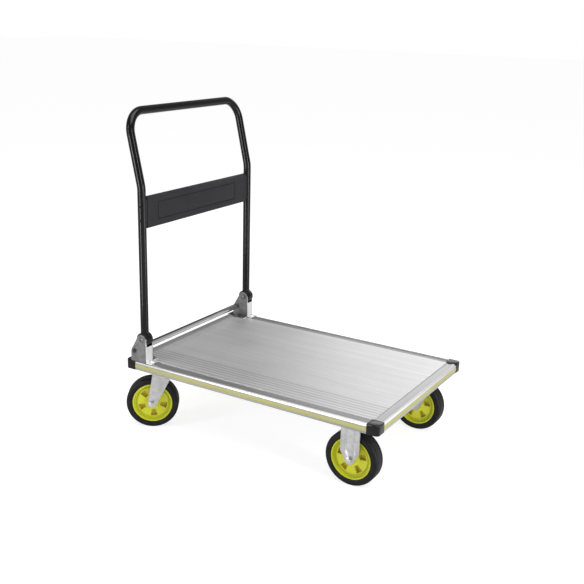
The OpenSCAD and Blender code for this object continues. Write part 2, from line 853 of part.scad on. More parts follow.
at_rear(1) bearings();  // bearings_rear_right
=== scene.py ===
# %% [markdown]
# # A folding platform trolley
# This lesson dresses a finished CAD model of a platform trolley. The CAD model is loaded as a
# fixed frame: it says where every part sits and how it moves. Here each visible part gets
# either a better surface or a finer mesh that stands in for the plain CAD one.

# %% Load the frame
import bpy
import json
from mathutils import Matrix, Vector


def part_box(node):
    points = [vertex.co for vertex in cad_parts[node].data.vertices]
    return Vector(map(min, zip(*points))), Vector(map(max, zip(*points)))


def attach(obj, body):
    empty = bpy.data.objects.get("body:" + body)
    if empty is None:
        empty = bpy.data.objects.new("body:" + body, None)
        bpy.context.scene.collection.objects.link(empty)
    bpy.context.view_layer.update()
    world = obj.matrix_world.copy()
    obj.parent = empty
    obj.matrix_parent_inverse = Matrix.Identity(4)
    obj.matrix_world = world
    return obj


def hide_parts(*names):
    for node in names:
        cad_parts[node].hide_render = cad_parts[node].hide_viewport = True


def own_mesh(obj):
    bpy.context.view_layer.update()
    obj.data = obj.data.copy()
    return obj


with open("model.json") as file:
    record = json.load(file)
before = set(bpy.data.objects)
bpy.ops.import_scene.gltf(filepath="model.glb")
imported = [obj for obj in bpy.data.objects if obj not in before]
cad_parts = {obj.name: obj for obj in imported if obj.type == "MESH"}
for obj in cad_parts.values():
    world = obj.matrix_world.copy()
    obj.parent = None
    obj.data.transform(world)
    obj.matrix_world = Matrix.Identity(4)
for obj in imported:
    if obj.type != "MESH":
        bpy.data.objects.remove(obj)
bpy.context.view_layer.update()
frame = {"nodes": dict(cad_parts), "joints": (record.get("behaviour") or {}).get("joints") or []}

import json
import math

import bmesh
import bpy
from mathutils import Matrix, Vector

scene = bpy.context.scene
scene.view_settings.view_transform = "Standard"
joints = {joint["name"]: joint for joint in frame["joints"]}
print("parts in the frame:", len(frame["nodes"]))

# %% [markdown]
# ## Camera
# The camera looks down at the trolley from the front left, from about eye height. An angle
# round the object, an angle above the floor and a distance are easier to think about than a
# location, so the place is worked out from them. The camera is also tilted by a degree and a half.

# %% Camera
view_around, view_above, view_tilt = math.radians(31.0), math.radians(17.02), math.radians(1.49)
view_distance = 2.931
view_middle = Vector((-0.0095, 0.0, 0.4637))

back = Vector((math.sin(view_around) * math.cos(view_above),
               -math.cos(view_around) * math.cos(view_above),
               math.sin(view_above)))
level_right = Vector((0, 0, 1)).cross(back).normalized()
level_up = back.cross(level_right)
right = level_right * math.cos(view_tilt) + level_up * math.sin(view_tilt)
up = level_up * math.cos(view_tilt) - level_right * math.sin(view_tilt)

bpy.ops.object.camera_add(location=view_middle + back * view_distance)
camera = bpy.context.object
camera_turn = Matrix((right, up, back)).transposed().to_4x4()
camera.matrix_world = Matrix.Translation(view_middle + back * view_distance) @ camera_turn
camera.data.sensor_width = 36
camera.data.lens = 56.377
scene.camera = camera
print("camera at", [round(v, 3) for v in camera.location])

# %% [markdown]
# ## Floor and light
# A product picture has a white floor and large soft lights. One big plane is the floor, and it
# glows a little so that it stays white far away. The world is white to the camera, but much
# weaker as a light, so that black paint stays black. A wide panel overhead lights the deck.
# Two low cards are seen only in reflections: they draw the long thin lines on the round tubes.

# %% Floor
def by_ray(tree, kind, others, these):
    """A strength that is different for one kind of light ray."""
    ray, strength = tree.nodes.new("ShaderNodeLightPath"), tree.nodes.new("ShaderNodeMapRange")
    strength.inputs["To Min"].default_value = others
    strength.inputs["To Max"].default_value = these
    tree.links.new(ray.outputs[kind], strength.inputs["Value"])
    return strength.outputs["Result"]


bpy.ops.mesh.primitive_plane_add(size=60, location=(0, 0, 0))
floor = bpy.context.object
floor.name = "studio_floor"
floor_paper = bpy.data.materials.new("studio_paper")
floor_paper.use_nodes = True
floor_tree = floor_paper.node_tree
floor_shader = floor_tree.nodes["Principled BSDF"]
for socket, value in (("Base Color", (0.5, 0.5, 0.5, 1)), ("Roughness", 1.0),
                      ("Specular IOR Level", 0.0), ("Emission Color", (1, 1, 1, 1))):
    floor_shader.inputs[socket].default_value = value
floor_tree.links.new(by_ray(floor_tree, "Is Glossy Ray", 0.78, 0.34),
                     floor_shader.inputs["Emission Strength"])
floor.data.materials.append(floor_paper)

# %% Lights
world = bpy.data.worlds.new("studio_world")
scene.world = world
world.use_nodes = True
sky = world.node_tree.nodes["Background"]
sky.inputs["Color"].default_value = (1, 1, 1, 1)
world.node_tree.links.new(by_ray(world.node_tree, "Is Camera Ray", 0.40, 1.0), sky.inputs["Strength"])


def soft_light(name, place, aim, width, height, watts):
    """A rectangular light panel at a place, turned to face a point."""
    bpy.ops.object.light_add(type="AREA", location=place)
    panel = bpy.context.object
    panel.name = name
    panel.data.shape = "RECTANGLE"
    panel.data.size, panel.data.size_y = width, height
    panel.data.energy = watts
    panel.rotation_euler = (Vector(aim) - Vector(place)).to_track_quat("-Z", "Y").to_euler()
    return panel


soft_light("light_overhead", (0.7, -0.3, 3.2), (0.1, 0, 0.2), 2.4, 2.4, 62)
soft_light("light_front_right", (3.0, -0.9, 1.3), (0, 0, 0.5), 0.3, 2.4, 34)
soft_light("light_left", (-1.7, -2.9, 1.4), (0, 0, 0.5), 0.3, 2.4, 26)
soft_light("light_back", (-0.4, 3.3, 1.5), (0.1, 0, 0.2), 2.6, 1.2, 18)
handle_middle = (-0.38, 0, 0.5)
for name, place, watts in (("card_left", (-0.6, -1.6, 0.5), 9), ("card_right", (1.3, 0.2, 0.5), 7)):
    card = soft_light(name, place, handle_middle, 0.24, 1.0, watts)
    card.visible_diffuse = False

# %% [markdown]
# ## Shader maths
# A procedural pattern is a sum of small steps: stretch a noise, sharpen it, mix two colours
# by it. Written as nodes that is long, so a small class wraps a socket and lets Python's own
# operators add the Math nodes. Colours never go through a Math node, which would turn
# them grey: they go through a Mix node.

# %% The socket class and the finish maker
class Signal:
    """One output socket in a material, usable in sums."""

    def __init__(self, finish, socket):
        self.finish, self.socket = finish, socket

    def _math(self, operation, *values):
        return self.finish.node("ShaderNodeMath", {"operation": operation}, *values)

    def __add__(self, other): return self._math("ADD", self, other)
    def __radd__(self, other): return self._math("ADD", other, self)
    def __sub__(self, other): return self._math("SUBTRACT", self, other)
    def __rsub__(self, other): return self._math("SUBTRACT", other, self)
    def __mul__(self, other): return self._math("MULTIPLY", self, other)

    def above(self, level, soft=0.05):
        """0 below the level and 1 above it, with a soft step between."""
        return self.finish.node("ShaderNodeMapRange", {"interpolation_type": "SMOOTHSTEP"},
                                Value=self, **{"From Min": level - soft, "From Max": level + soft})


class Finish:
    """A procedural material on Object coordinates."""

    def __init__(self, name, roughness=0.5, metallic=0.0, **shader_values):
        self.material = bpy.data.materials.new(name)
        self.material.use_nodes = True
        self.tree = self.material.node_tree
        self.shader = self.tree.nodes["Principled BSDF"]
        self.shader.inputs["Roughness"].default_value = roughness
        self.shader.inputs["Metallic"].default_value = metallic
        for socket, value in shader_values.items():
            self.shader.inputs[socket.replace("_", " ")].default_value = value
        self.place = Signal(self, self.tree.nodes.new("ShaderNodeTexCoord").outputs["Object"])

    def fill(self, socket, value):
        """Links a signal to a socket, or writes a plain value in it."""
        if isinstance(value, Signal):
            self.tree.links.new(value.socket, socket)
        else:
            socket.default_value = value

    def node(self, kind, settings, *values, out=0, **named):
        """Adds a node, sets it up, then fills its sockets with numbers or links."""
        made = self.tree.nodes.new(kind)
        for key, value in settings.items():
            setattr(made, key, value)
        for key, value in [*enumerate(values), *named.items()]:
            self.fill(made.inputs[key], value)
        return Signal(self, made.outputs[out])

    def noise(self, scale, detail=2.0, rough=0.5, along=(1, 1, 1)):
        """Soft random values between 0 and 1. A small number in `along` draws them out on that axis."""
        stretched = self.node("ShaderNodeMapping", {}, Vector=self.place, Scale=along)
        return self.node("ShaderNodeTexNoise", {}, Vector=stretched, Scale=scale,
                         Detail=detail, Roughness=rough, out="Fac")

    def axis(self, name):
        """One of the coordinates, in metres."""
        return self.node("ShaderNodeSeparateXYZ", {}, self.place, out=name)

    def mix(self, mask, first, second):
        """first where the mask is 0 and second where it is 1."""
        made = self.tree.nodes.new("ShaderNodeMix")
        made.data_type = "RGBA"
        sockets = [s for s in made.inputs if s.type == "RGBA"]
        self.tree.links.new(mask.socket, made.inputs[0])
        for socket, value in zip(sockets, (first, second)):
            self.fill(socket, value if isinstance(value, Signal) else (*value, 1))
        return Signal(self, [s for s in made.outputs if s.type == "RGBA"][0])

    def set(self, socket, value):
        """Links or sets one input of the shader."""
        self.fill(self.shader.inputs[socket], value)

    def tint(self, mask, first, second):
        """Colours the surface: first where the mask is 0 and second where it is 1."""
        self.set("Base Color", self.mix(mask, first, second))

    def bump(self, height, depth, strength=1.0):
        """Raises the surface by `depth` metres where height is 1."""
        raised = self.node("ShaderNodeBump", {}, Height=height, Distance=depth, Strength=strength)
        self.set("Normal", raised)


def grey(level):
    """A neutral colour from a screen brightness between 0 and 1."""
    linear = ((level + 0.055) / 1.055) ** 2.4 if level > 0.04 else level / 12.92
    return (linear, linear, linear)


def screen(red, green, blue):
    """A colour from screen values between 0 and 255."""
    return tuple(grey(value / 255)[0] for value in (red, green, blue))


# %% [markdown]
# ## Finishes
# Every finish below is made of two or three layers: a base colour that drifts slightly over
# the part, a fine grain that shows in the bump and the roughness, and the wear or dust that
# such a part picks up. Some finishes also carry painted light and shade: a highlight on the rail
# beads, lines of shade between the plank ribs, darker side rails and lighter end rails, a bright
# front wall on the brackets, a dark top on the release bar and a shaded tint inside the rim
# pockets. The scales are real ones, in metres, because the coordinates are.

# %% Extruded aluminium
deck_low = Vector((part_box("end_rail_rear")[0].x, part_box("side_rail_left")[0].y))
deck_high = Vector((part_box("end_rail_front")[1].x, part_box("side_rail_right")[1].y))
rail_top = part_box("side_rail_left")[1].z
# width and depth of the painted highlight on the rails' bead, and how it widens towards the front of the
# side rails
highlight_width, highlight_depth, highlight_growth = 0.0052, 0.008, 0.0055
rib_pitch, outer_plank_edge = 0.0162, 0.168


def extruded_aluminium(name, direction, bright, dark, bead=False):
    """Satin aluminium with die lines along 'X' or 'Y'. With bead set, the bead at a rail's edge gets a
    painted highlight; without it, the ribs get painted lines of shade.
    """
    finish = Finish(name, metallic=1.0, roughness=0.42)
    along = (0.012, 1, 1) if direction == "X" else (1, 0.012, 1)
    die_lines = finish.noise(420, detail=3, rough=0.6, along=along)
    broad = finish.noise(26, detail=2, along=along)
    cloud = finish.noise(3.2, detail=3)
    shade = die_lines * 0.5 + broad * 0.3 + cloud * 0.2
    colour = finish.mix(shade.above(0.5, 0.22), grey(dark), grey(bright))
    if bead:
        at = 1 if direction == "X" else 0
        from_middle = finish.axis("XY"[at]) - (deck_low[at] + deck_high[at]) / 2
        reach = finish.node("ShaderNodeMath", {"operation": "ABSOLUTE"}, from_middle)
        on_top = finish.axis("Z").above(rail_top - highlight_depth, 0.001)
        if direction == "X":
            # the painted highlight on the side rails' bead is narrower and duller at the handle's end
            reach = reach + finish.axis("X") * highlight_growth
            on_top = on_top * (finish.axis("X").above(-0.05, 0.3) * 0.85 + 0.15)
        painted_bead_highlight = reach.above((deck_high[at] - deck_low[at]) / 2 - highlight_width, 0.001) * on_top
        # painted highlight: the bead's rounded lip is coloured near white, for the light that it catches
        colour = finish.mix(painted_bead_highlight, colour, grey(0.93))
    else:
        # painted shade: the lines of shade that the ribs throw are painted into the colour, strongest on
        # the plank at the left edge, where they show best
        ripple = finish.axis("Y") * (math.tau / rib_pitch)
        painted_rib_shade = finish.node("ShaderNodeMath", {"operation": "SINE"}, ripple)
        outer_plank = (0 - finish.axis("Y")).above(outer_plank_edge, 0.003)
        colour = finish.mix(painted_rib_shade.above(0.1, 0.8) * (outer_plank * 0.24 + 0.08), colour, grey(dark - 0.3))
    finish.set("Base Color", colour)
    finish.set("Roughness", 0.34 + die_lines * 0.16 + cloud * 0.06)
    finish.bump(die_lines * 0.7 + broad * 0.3, 0.00012, 0.35)
    return finish.material


# painted shade and painted light: the side rails get a darker colour and the end rails a lighter one, for
# the darker and brighter reflections these rail faces show
plank_aluminium = extruded_aluminium("plank_aluminium", "X", 0.90, 0.82)
side_rail_aluminium_painted_dark = extruded_aluminium("side_rail_aluminium_painted_dark", "X", 0.66, 0.58, bead=True)
end_rail_aluminium_painted_light = extruded_aluminium("end_rail_aluminium_painted_light", "Y", 0.77, 0.69, bead=True)

# %% Painted and plated steel
gloss_black = Finish("gloss_black_paint", roughness=0.12, Specular_IOR_Level=0.3)
peel = gloss_black.noise(160, detail=2)
dusty = gloss_black.noise(9, detail=4)
gloss_black.tint(dusty.above(0.55, 0.2), screen(3, 3, 4), screen(6, 6, 7))
gloss_black.set("Roughness", 0.11 + dusty * 0.04)
gloss_black.bump(peel, 0.000004, 0.05)


def zinc(name, bright, dark, roughness):
    """Zinc plated sheet: soft cloudy crystals and slightly uneven shine."""
    finish = Finish(name, metallic=1.0, roughness=roughness)
    spangle = finish.node("ShaderNodeTexVoronoi", {}, Vector=finish.place, Scale=140.0, out="Color")
    spangle_tone = finish.node("ShaderNodeSeparateColor", {}, spangle)
    blur = finish.noise(14, detail=4)
    colour = finish.mix((spangle_tone * 0.35 + blur * 0.65).above(0.5, 0.3), grey(dark), grey(bright))
    finish.set("Base Color", colour)
    finish.set("Roughness", roughness - 0.08 + spangle_tone * 0.08 + blur * 0.14)
    finish.bump(blur, 0.0002, 0.15)
    return finish, colour


zinc_plate, _ = zinc("zinc_plate", 0.80, 0.72, 0.38)
bracket_zinc_painted_bright_front, bracket_colour = zinc("bracket_zinc_painted_bright_front", 0.52, 0.44, 0.42)
# painted highlight: the front wall of each bracket is coloured near white, for the light that it catches;
# the cheeks keep the duller zinc
painted_front_highlight = bracket_zinc_painted_bright_front.axis("X").above(joints["handle_fold"]["pos_m"][0] + 0.0172, 0.0004)
bracket_zinc_painted_bright_front.tint(painted_front_highlight, bracket_colour, grey(0.94))

bright_steel = Finish("bright_steel", metallic=1.0, roughness=0.26)
turned_lines = bright_steel.noise(900, detail=2)
bright_steel.tint(turned_lines, grey(0.78), grey(0.86))
bright_steel.set("Roughness", 0.20 + bright_steel.noise(60, detail=3) * 0.16)
bright_steel.bump(turned_lines, 0.00003, 0.3)

dark_steel = Finish("dark_steel", metallic=1.0, roughness=0.4)
soot = dark_steel.noise(90, detail=4)
dark_steel.tint(soot, grey(0.22), grey(0.36))
dark_steel.set("Roughness", 0.34 + soot * 0.14)
dark_steel.bump(soot, 0.00004, 0.2)

polished_chrome = Finish("polished_chrome", metallic=1.0, roughness=0.1)
smear = polished_chrome.noise(22, detail=4, along=(1, 0.25, 1))
# painted reflection: the top of the bar is coloured dark grey, for the dark line that it reflects along
# its top
painted_dark_top = polished_chrome.axis("Z").above(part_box("release_bar")[1].z - 0.0020, 0.0012)
chrome_colour = polished_chrome.mix(smear, grey(0.86), grey(0.93))
polished_chrome.tint(painted_dark_top, chrome_colour, grey(0.36))
polished_chrome.set("Roughness", 0.08 + smear * 0.12)

# %% Plastics and rubber
def moulded_plastic(name, colour, darker, roughness, grain, depth, shine):
    """Plastic with a fine moulded grain. The two screen colours differ slightly."""
    finish = Finish(name, roughness=roughness, Specular_IOR_Level=shine)
    pebble = finish.noise(grain, detail=2, rough=0.6)
    patch = finish.noise(11, detail=3)
    uneven = (pebble * 0.3 + patch * 0.7).above(0.5, 0.25)
    finish.tint(uneven, screen(*darker), screen(*colour))
    finish.set("Roughness", roughness - 0.06 + pebble * 0.08 + patch * 0.06)
    finish.bump(pebble, depth, 0.5)
    return finish.material


# the last of these, for the rim pockets, is painted shade: a warmer, more olive yellow for the inside of
# the pockets
black_plastic, panel_plastic, bumper_plastic, rim_plastic, pocket_shade_plastic = (
    moulded_plastic(*settings) for settings in (
        ("black_plastic", (11, 11, 12), (7, 7, 8), 0.24, 500, 0.00002, 0.3),
        ("panel_plastic", (40, 40, 43), (33, 33, 36), 0.5, 900, 0.00006, 0.2),
        ("bumper_plastic", (184, 181, 120), (174, 171, 112), 0.45, 500, 0.00003, 0.25),
        ("rim_plastic", (202, 205, 44), (192, 196, 36), 0.36, 500, 0.00003, 0.35),
        ("pocket_shade_plastic", (206, 192, 60), (186, 173, 50), 0.5, 500, 0.00003, 0.2)))

tyre_rubber = Finish("tyre_rubber", roughness=0.6, Specular_IOR_Level=0.2)
rubber_grain = tyre_rubber.noise(1500, detail=2)
rubber_dust = tyre_rubber.noise(38, detail=5, rough=0.65)
dusted = rubber_dust.above(0.56, 0.16)
tyre_rubber.tint(dusted, screen(18, 18, 19), screen(32, 31, 31))
tyre_rubber.set("Roughness", 0.42 + rubber_dust * 0.22)
tyre_rubber.bump(rubber_grain, 0.00008, 0.5)

# %% [markdown]
# ## The CAD parts
# Parts whose CAD shape is already right, such as the extruded rails and planks, only get a
# finish. The CAD mesh has one or more material slots, and every slot is given the new finish.

# %% Dress the CAD parts
finish_of = {
    "side_rail": side_rail_aluminium_painted_dark, "end_rail": end_rail_aluminium_painted_light, "deck_plank": plank_aluminium,
    "corner_cap": black_plastic, "bumper": bumper_plastic, "cross_member": zinc_plate,
    "hinge_bracket": bracket_zinc_painted_bright_front, "fixed_fork": zinc_plate, "swivel_plate": zinc_plate,
    "swivel_fork": zinc_plate, "handle_tube": gloss_black, "cross_panel": panel_plastic,
    "cam_foot": black_plastic, "release_": polished_chrome, "rim_": rim_plastic, "tyre_": tyre_rubber,
}


def material_of(look):
    """The material of a finish, or the material itself."""
    return look.material if isinstance(look, Finish) else look


for node_name, part in frame["nodes"].items():
    fitting = (look for start, look in finish_of.items() if node_name.startswith(start))
    chosen = material_of(next(fitting, bright_steel))
    if not part.data.materials:
        part.data.materials.append(chosen)
    for index in range(len(part.data.materials)):
        part.data.materials[index] = chosen

# %% [markdown]
# ## Modelling helpers
# All new parts are made the way a person makes them in the 3D view: a primitive is added, and
# edit mode operators shape it. An operator works on what is selected, so a few helpers clear
# the selection, open edit mode, and pick faces by where they are or which way they face.

# %% Selection and edit mode
mm = 0.001


def clear_selection():
    """Object mode with nothing selected."""
    if bpy.context.object and bpy.context.object.mode != "OBJECT":
        bpy.ops.object.mode_set(mode="OBJECT")
    bpy.ops.object.select_all(action="DESELECT")


def choose(piece):
    """Makes one piece the only selected and the active one."""
    clear_selection()
    piece.select_set(True)
    bpy.context.view_layer.objects.active = piece


def edit(piece, kind="FACE"):
    """Opens one piece in edit mode, with nothing selected in it."""
    choose(piece)
    bpy.ops.object.mode_set(mode="EDIT")
    bpy.ops.mesh.select_mode(type=kind)
    bpy.ops.mesh.select_all(action="DESELECT")


def pick_faces(test):
    """Selects the faces whose middle and normal pass a test, and says how many there are."""
    bpy.ops.mesh.select_all(action="DESELECT")
    mesh = bmesh.from_edit_mesh(bpy.context.edit_object.data)
    chosen = [face for face in mesh.faces if test(face.calc_center_median(), face.normal)]
    for face in chosen:
        face.select_set(True)
    mesh.select_flush(True)
    bmesh.update_edit_mesh(bpy.context.edit_object.data)
    return len(chosen)


def pick_edges(test):
    """Selects the edges whose two ends pass a test."""
    bpy.ops.mesh.select_all(action="DESELECT")
    mesh = bmesh.from_edit_mesh(bpy.context.edit_object.data)
    for edge in [edge for edge in mesh.edges if test(edge.verts[0].co, edge.verts[1].co)]:
        edge.select_set(True)
    bmesh.update_edit_mesh(bpy.context.edit_object.data)


# %% [markdown]
# Two shapes come back all the time: a sheet metal or moulded outline that is pushed out to a
# thickness, and a turned profile that is spun round an axis. Both start from a single vertex
# that is extruded from point to point, as when tracing with the E key.

# %% Outlines, turned profiles and cuts
def push(step):
    """Extrudes what is selected by a step."""
    bpy.ops.mesh.extrude_region_move(TRANSFORM_OT_translate={"value": step})


def trace(name, points):
    """A new piece in edit mode that holds one line through the points."""
    clear_selection()
    bpy.ops.mesh.primitive_plane_add(size=0.01, location=(0, 0, 0))
    piece = bpy.context.object
    piece.name = name
    edit(piece, "VERT")
    bpy.ops.mesh.select_all(action="SELECT")
    bpy.ops.mesh.merge(type="CENTER")
    bpy.ops.mesh.select_all(action="SELECT")
    bpy.ops.transform.translate(value=points[0])
    for here, there in zip(points, points[1:]):
        push(Vector(there) - Vector(here))
    bpy.ops.mesh.select_all(action="SELECT")
    return piece


def outward(piece):
    """Merges doubles, turns every face outwards and returns to object mode."""
    bpy.ops.object.mode_set(mode="EDIT")
    bpy.ops.mesh.select_all(action="SELECT")
    bpy.ops.mesh.remove_doubles(threshold=0.00001)
    bpy.ops.mesh.normals_make_consistent(inside=False)
    clear_selection()
    return piece


def plate(name, points, thickness):
    """A flat outline, filled and pushed out by the thickness vector."""
    piece = trace(name, points)
    bpy.ops.mesh.edge_face_add()
    push(thickness)
    return outward(piece)


def lathe(name, profile, axis="Z", steps=64):
    """Spins (radius, along) points round the Y or Z axis, in millimetres."""
    arm, along = {"Y": ((0, 0, 1), (0, 1, 0)), "Z": ((1, 0, 0), (0, 0, 1))}[axis]
    points = [(Vector(arm) * r + Vector(along) * a) * mm for r, a in profile]
    piece = trace(name, points + points[:1])
    bpy.ops.mesh.remove_doubles(threshold=0.00001)
    bpy.ops.mesh.select_all(action="SELECT")
    bpy.ops.mesh.spin(steps=steps, angle=math.tau, center=(0, 0, 0), axis=along, use_auto_merge=True)
    return outward(piece)


def there_and_back(half):
    """A profile that goes through the points and then through their mirror images."""
    return half + [(r, -a) for r, a in reversed(half)]


def arc(middle, radius, start, end, steps):
    """Points on an arc in a plane, with angles in degrees."""
    turns = [math.radians(start + (end - start) * i / steps) for i in range(steps + 1)]
    return [(middle[0] + radius * math.cos(t), middle[1] + radius * math.sin(t)) for t in turns]


def remove(piece):
    """Deletes a helper object."""
    clear_selection()
    piece.select_set(True)
    bpy.ops.object.delete()


def modify(piece, kind, **settings):
    """Adds a modifier with these settings and applies it."""
    choose(piece)
    bpy.ops.object.modifier_add(type=kind)
    step = piece.modifiers[-1]
    for key, value in settings.items():
        setattr(step, key, value)
    bpy.ops.object.modifier_apply(modifier=step.name)
    return piece


def combine(piece, tool, how="DIFFERENCE"):
    """Cuts a tool out of a piece, or unites the two, and deletes the tool."""
    modify(piece, "BOOLEAN", operation=how, object=tool, solver="EXACT")
    remove(tool)
    return piece


def rod(where, radius, length, sides, turn=(0, 0, 0)):
    """A new cylinder."""
    clear_selection()
    bpy.ops.mesh.primitive_cylinder_add(vertices=sides, radius=radius, depth=length,
                                        location=where, rotation=turn)
    return bpy.context.object


def drill(piece, where, axis, radius, length, sides=32):
    """Drills a round hole along 'Y' or 'Z' through a point."""
    turn = {"Y": (math.pi / 2, 0, 0), "Z": (0, 0, 0)}[axis]
    return combine(piece, rod(where, radius, length, sides, turn))


def soften(piece, width, segments=2, angle=35):
    """Rounds the sharp edges with a Bevel modifier."""
    return modify(piece, "BEVEL", width=width, segments=segments, limit_method="ANGLE",
                  angle_limit=math.radians(angle))


def settle(piece):
    """Puts the object's place into its mesh, so that the object sits at the origin."""
    choose(piece)
    bpy.ops.object.transform_apply(location=True, rotation=True, scale=True)
    return piece


def block(where, size, turn=0.0):
    """A new box, turned about Z, with its place already in its mesh."""
    clear_selection()
    bpy.ops.mesh.primitive_cube_add(size=1, location=where, rotation=(0, 0, turn), scale=size)
    return settle(bpy.context.object)


def copied(piece, name, place=Matrix()):
    """A copy put in place by a matrix. A mirrored copy is turned right way out."""
    choose(piece)
    bpy.ops.object.duplicate(linked=False)
    twin = bpy.context.object
    twin.name = name
    twin.matrix_world = place
    settle(twin)
    if place.determinant() < 0:
        edit(twin)
        bpy.ops.mesh.select_all(action="SELECT")
        bpy.ops.mesh.flip_normals()
        clear_selection()
    return twin


def joined(name, pieces):
    """Several pieces made one."""
    clear_selection()
    for piece in pieces:
        piece.select_set(True)
    bpy.context.view_layer.objects.active = pieces[0]
    if len(pieces) > 1:
        bpy.ops.object.join()
    bpy.context.object.name = name
    return bpy.context.object


def fit_out(piece, look, body, slot, *nodes, smooth=35):
    """Smooths a piece, gives it its finish and fixes it to a body in place of CAD parts."""
    settle(piece)
    bpy.ops.object.shade_smooth_by_angle(angle=math.radians(smooth))
    piece.data.materials.clear()
    piece.data.materials.append(material_of(look))
    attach(piece, body)
    if nodes:
        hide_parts(*nodes)
    clear_selection()
    return piece


def fit_out_pair(right, name, look, slot, node, body="chassis", smooth=35):
    """Fits out a right-hand piece, and its mirror image on the left."""
    left = copied(right, f"{name}_left", Matrix.Scale(-1, 4, (0, 1, 0)))
    fit_out(left, look, body, slot, f"{node}_left", smooth=smooth)
    right.name = f"{name}_right"
    fit_out(right, look, body, slot, f"{node}_right", smooth=smooth)


def second_finish(piece, look, test):
    """Gives the faces that pass a test another finish."""
    piece.data.materials.append(material_of(look))
    edit(piece)
    found = pick_faces(test)
    piece.active_material_index = len(piece.data.materials) - 1
    bpy.ops.object.material_slot_assign()
    clear_selection()
    return found


def around(radius, along, points):
    """Profile points measured from a radius and a place along the axis."""
    return [(radius + r, along + a) for r, a in points]


def solids(node):
    """The low and high corners of every separate solid in a CAD part, in order of place."""
    shape = bmesh.new()
    shape.from_mesh(frame["nodes"][node].data)
    bmesh.ops.remove_doubles(shape, verts=shape.verts, dist=0.000002)
    left, found = set(shape.verts), []
    while left:
        reach, island = [left.pop()], []
        while reach:
            vert = reach.pop()
            island.append(vert.co)
            for edge in vert.link_edges:
                other = edge.other_vert(vert)
                if other in left:
                    left.remove(other)
                    reach.append(other)
        found.append((Vector([min(co[i] for co in island) for i in range(3)]),
                      Vector([max(co[i] for co in island) for i in range(3)])))
    shape.free()
    return sorted(found, key=lambda box: [round(v, 4) for v in box[0]])


def solid_middles(node):
    """The middle of every separate solid in a CAD part."""
    return [(low + high) / 2 for low, high in solids(node)]


def middle(node):
    """The middle of a CAD part's box."""
    low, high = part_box(node)
    return (low + high) / 2


# %% [markdown]
# ## Wheels
# A wheel here is a rubber tyre on a moulded rim. Both are turned shapes, so each is a profile
# that is spun round the axle. The tyre's profile has round shoulders, two fine grooves and a
# raised line on the side wall. It is made once and copied to the four axles. The two rear
# wheels stand turned on their swivels, and the turn is read from the direction of their axles.

# %% Where the wheels stand
wheel_spots = {}
for end in ("front", "rear"):
    for side in ("left", "right"):
        axle = Vector(joints[f"wheel_{end}_{side}_roll"]["axis"])
        spot = Matrix.Translation(middle(f"tyre_{end}_{side}"))
        wheel_spots[f"{end}_{side}"] = spot @ Matrix.Rotation(math.atan2(-axle.x, axle.y), 4, "Z")
tyre_low, tyre_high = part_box("tyre_front_left")
tyre_radius = (tyre_high.z - tyre_low.z) / 2 / mm
tyre_half = (tyre_high.y - tyre_low.y) / 2 / mm
print("wheel radius", round(tyre_radius, 1), "half width", round(tyre_half, 1))

# %% Tyre
rim_edge, shoulder_radius = tyre_radius - 20, 8.2
shoulder = [(tyre_radius - shoulder_radius + shoulder_radius * math.sin(math.radians(t)),
             tyre_half - shoulder_radius + shoulder_radius * math.cos(math.radians(t)))
            for t in range(10, 91, 10)]
side_wall = around(rim_edge, tyre_half, [(0.1, -4.2), (0.9, -2.0), (2.4, -1.2), (5.0, -0.6), (7.4, -0.45),
                                         (7.9, -0.05), (9.0, -0.05), (9.5, -0.4)])
groove = around(tyre_radius, tyre_half, [(0, -9.8), (-1.5, -10.3), (-1.5, -11.9), (0, -12.4)])
master_tyre = lathe("master_tyre", there_and_back(side_wall + shoulder + groove), "Y", steps=96)
print("tyre faces:", len(master_tyre.data.polygons))

# %% [markdown]
# The rim is a dished disc. From the edge inwards it has a bright lip, a sloping wall, a narrow
# trough, and a raised face with five deep pockets, wider at their outer end. The pockets are
# cut with a tapered tool, because moulded pockets need a draft angle to leave the mould. Their
# inside gets a second, darker finish, which is painted shade: little light gets out of a deep
# yellow pocket.

# %% Rim
lip = tyre_half - 2
dish = around(rim_edge, lip, [(0, -2.5), (-0.2, -0.9), (-0.9, -0.1), (-2.6, 0), (-3.8, -0.4), (-4.4, -1.4),
                              (-5.9, -10.5), (-6.9, -12.6), (-8.6, -13.4), (-11.2, -13.4), (-12.4, -12.8),
                              (-13.4, -9.4), (-14.4, -8.4), (-16, -8)])
hub = around(0, lip, [(25.5, -8), (23.4, -7.4), (21.6, -6), (20.4, -3.6), (20, -1), (20, 3.2), (19.2, 4),
                      (15, 4), (14, 3.2), (14, -6), (9, -6)])
master_rim = lathe("master_rim", there_and_back(dish + hub), "Y", steps=96)

# %% Pockets
pocket_inner, pocket_outer, pocket_spread, pocket_count = 26, 48, 14, 5
pocket_floor = 3.2


def pocket_tool(turn, side):
    """A wedge that narrows towards the middle of the wheel, for one pocket."""
    spread = math.radians(pocket_spread)
    low_x, low_z = pocket_inner * math.cos(spread), pocket_inner * math.sin(spread)
    outer_arc = arc((0, 0), pocket_outer, -pocket_spread, pocket_spread, 6)
    outline = [(low_x, -low_z), *outer_arc, (low_x, low_z)]
    tool = plate("pocket_tool", [Vector((x, side * pocket_floor, z)) * mm for x, z in outline],
                 (0, side * 16 * mm, 0))
    edit(tool)
    pick_faces(lambda spot, normal: abs(spot.y) < 4 * mm and abs(normal.y) > 0.9)
    bpy.ops.transform.resize(value=(0.96, 1, 0.94), center_override=(37 * mm, 0, 0))
    clear_selection()
    tool.rotation_euler = (0, math.radians(turn), 0)
    return settle(tool)


for count in range(pocket_count):
    for side in (-1, 1):
        combine(master_rim, pocket_tool(count * 360 / pocket_count + 54, side))
soften(master_rim, 0.7 * mm, 2, 40)
print("rim faces:", len(master_rim.data.polygons))

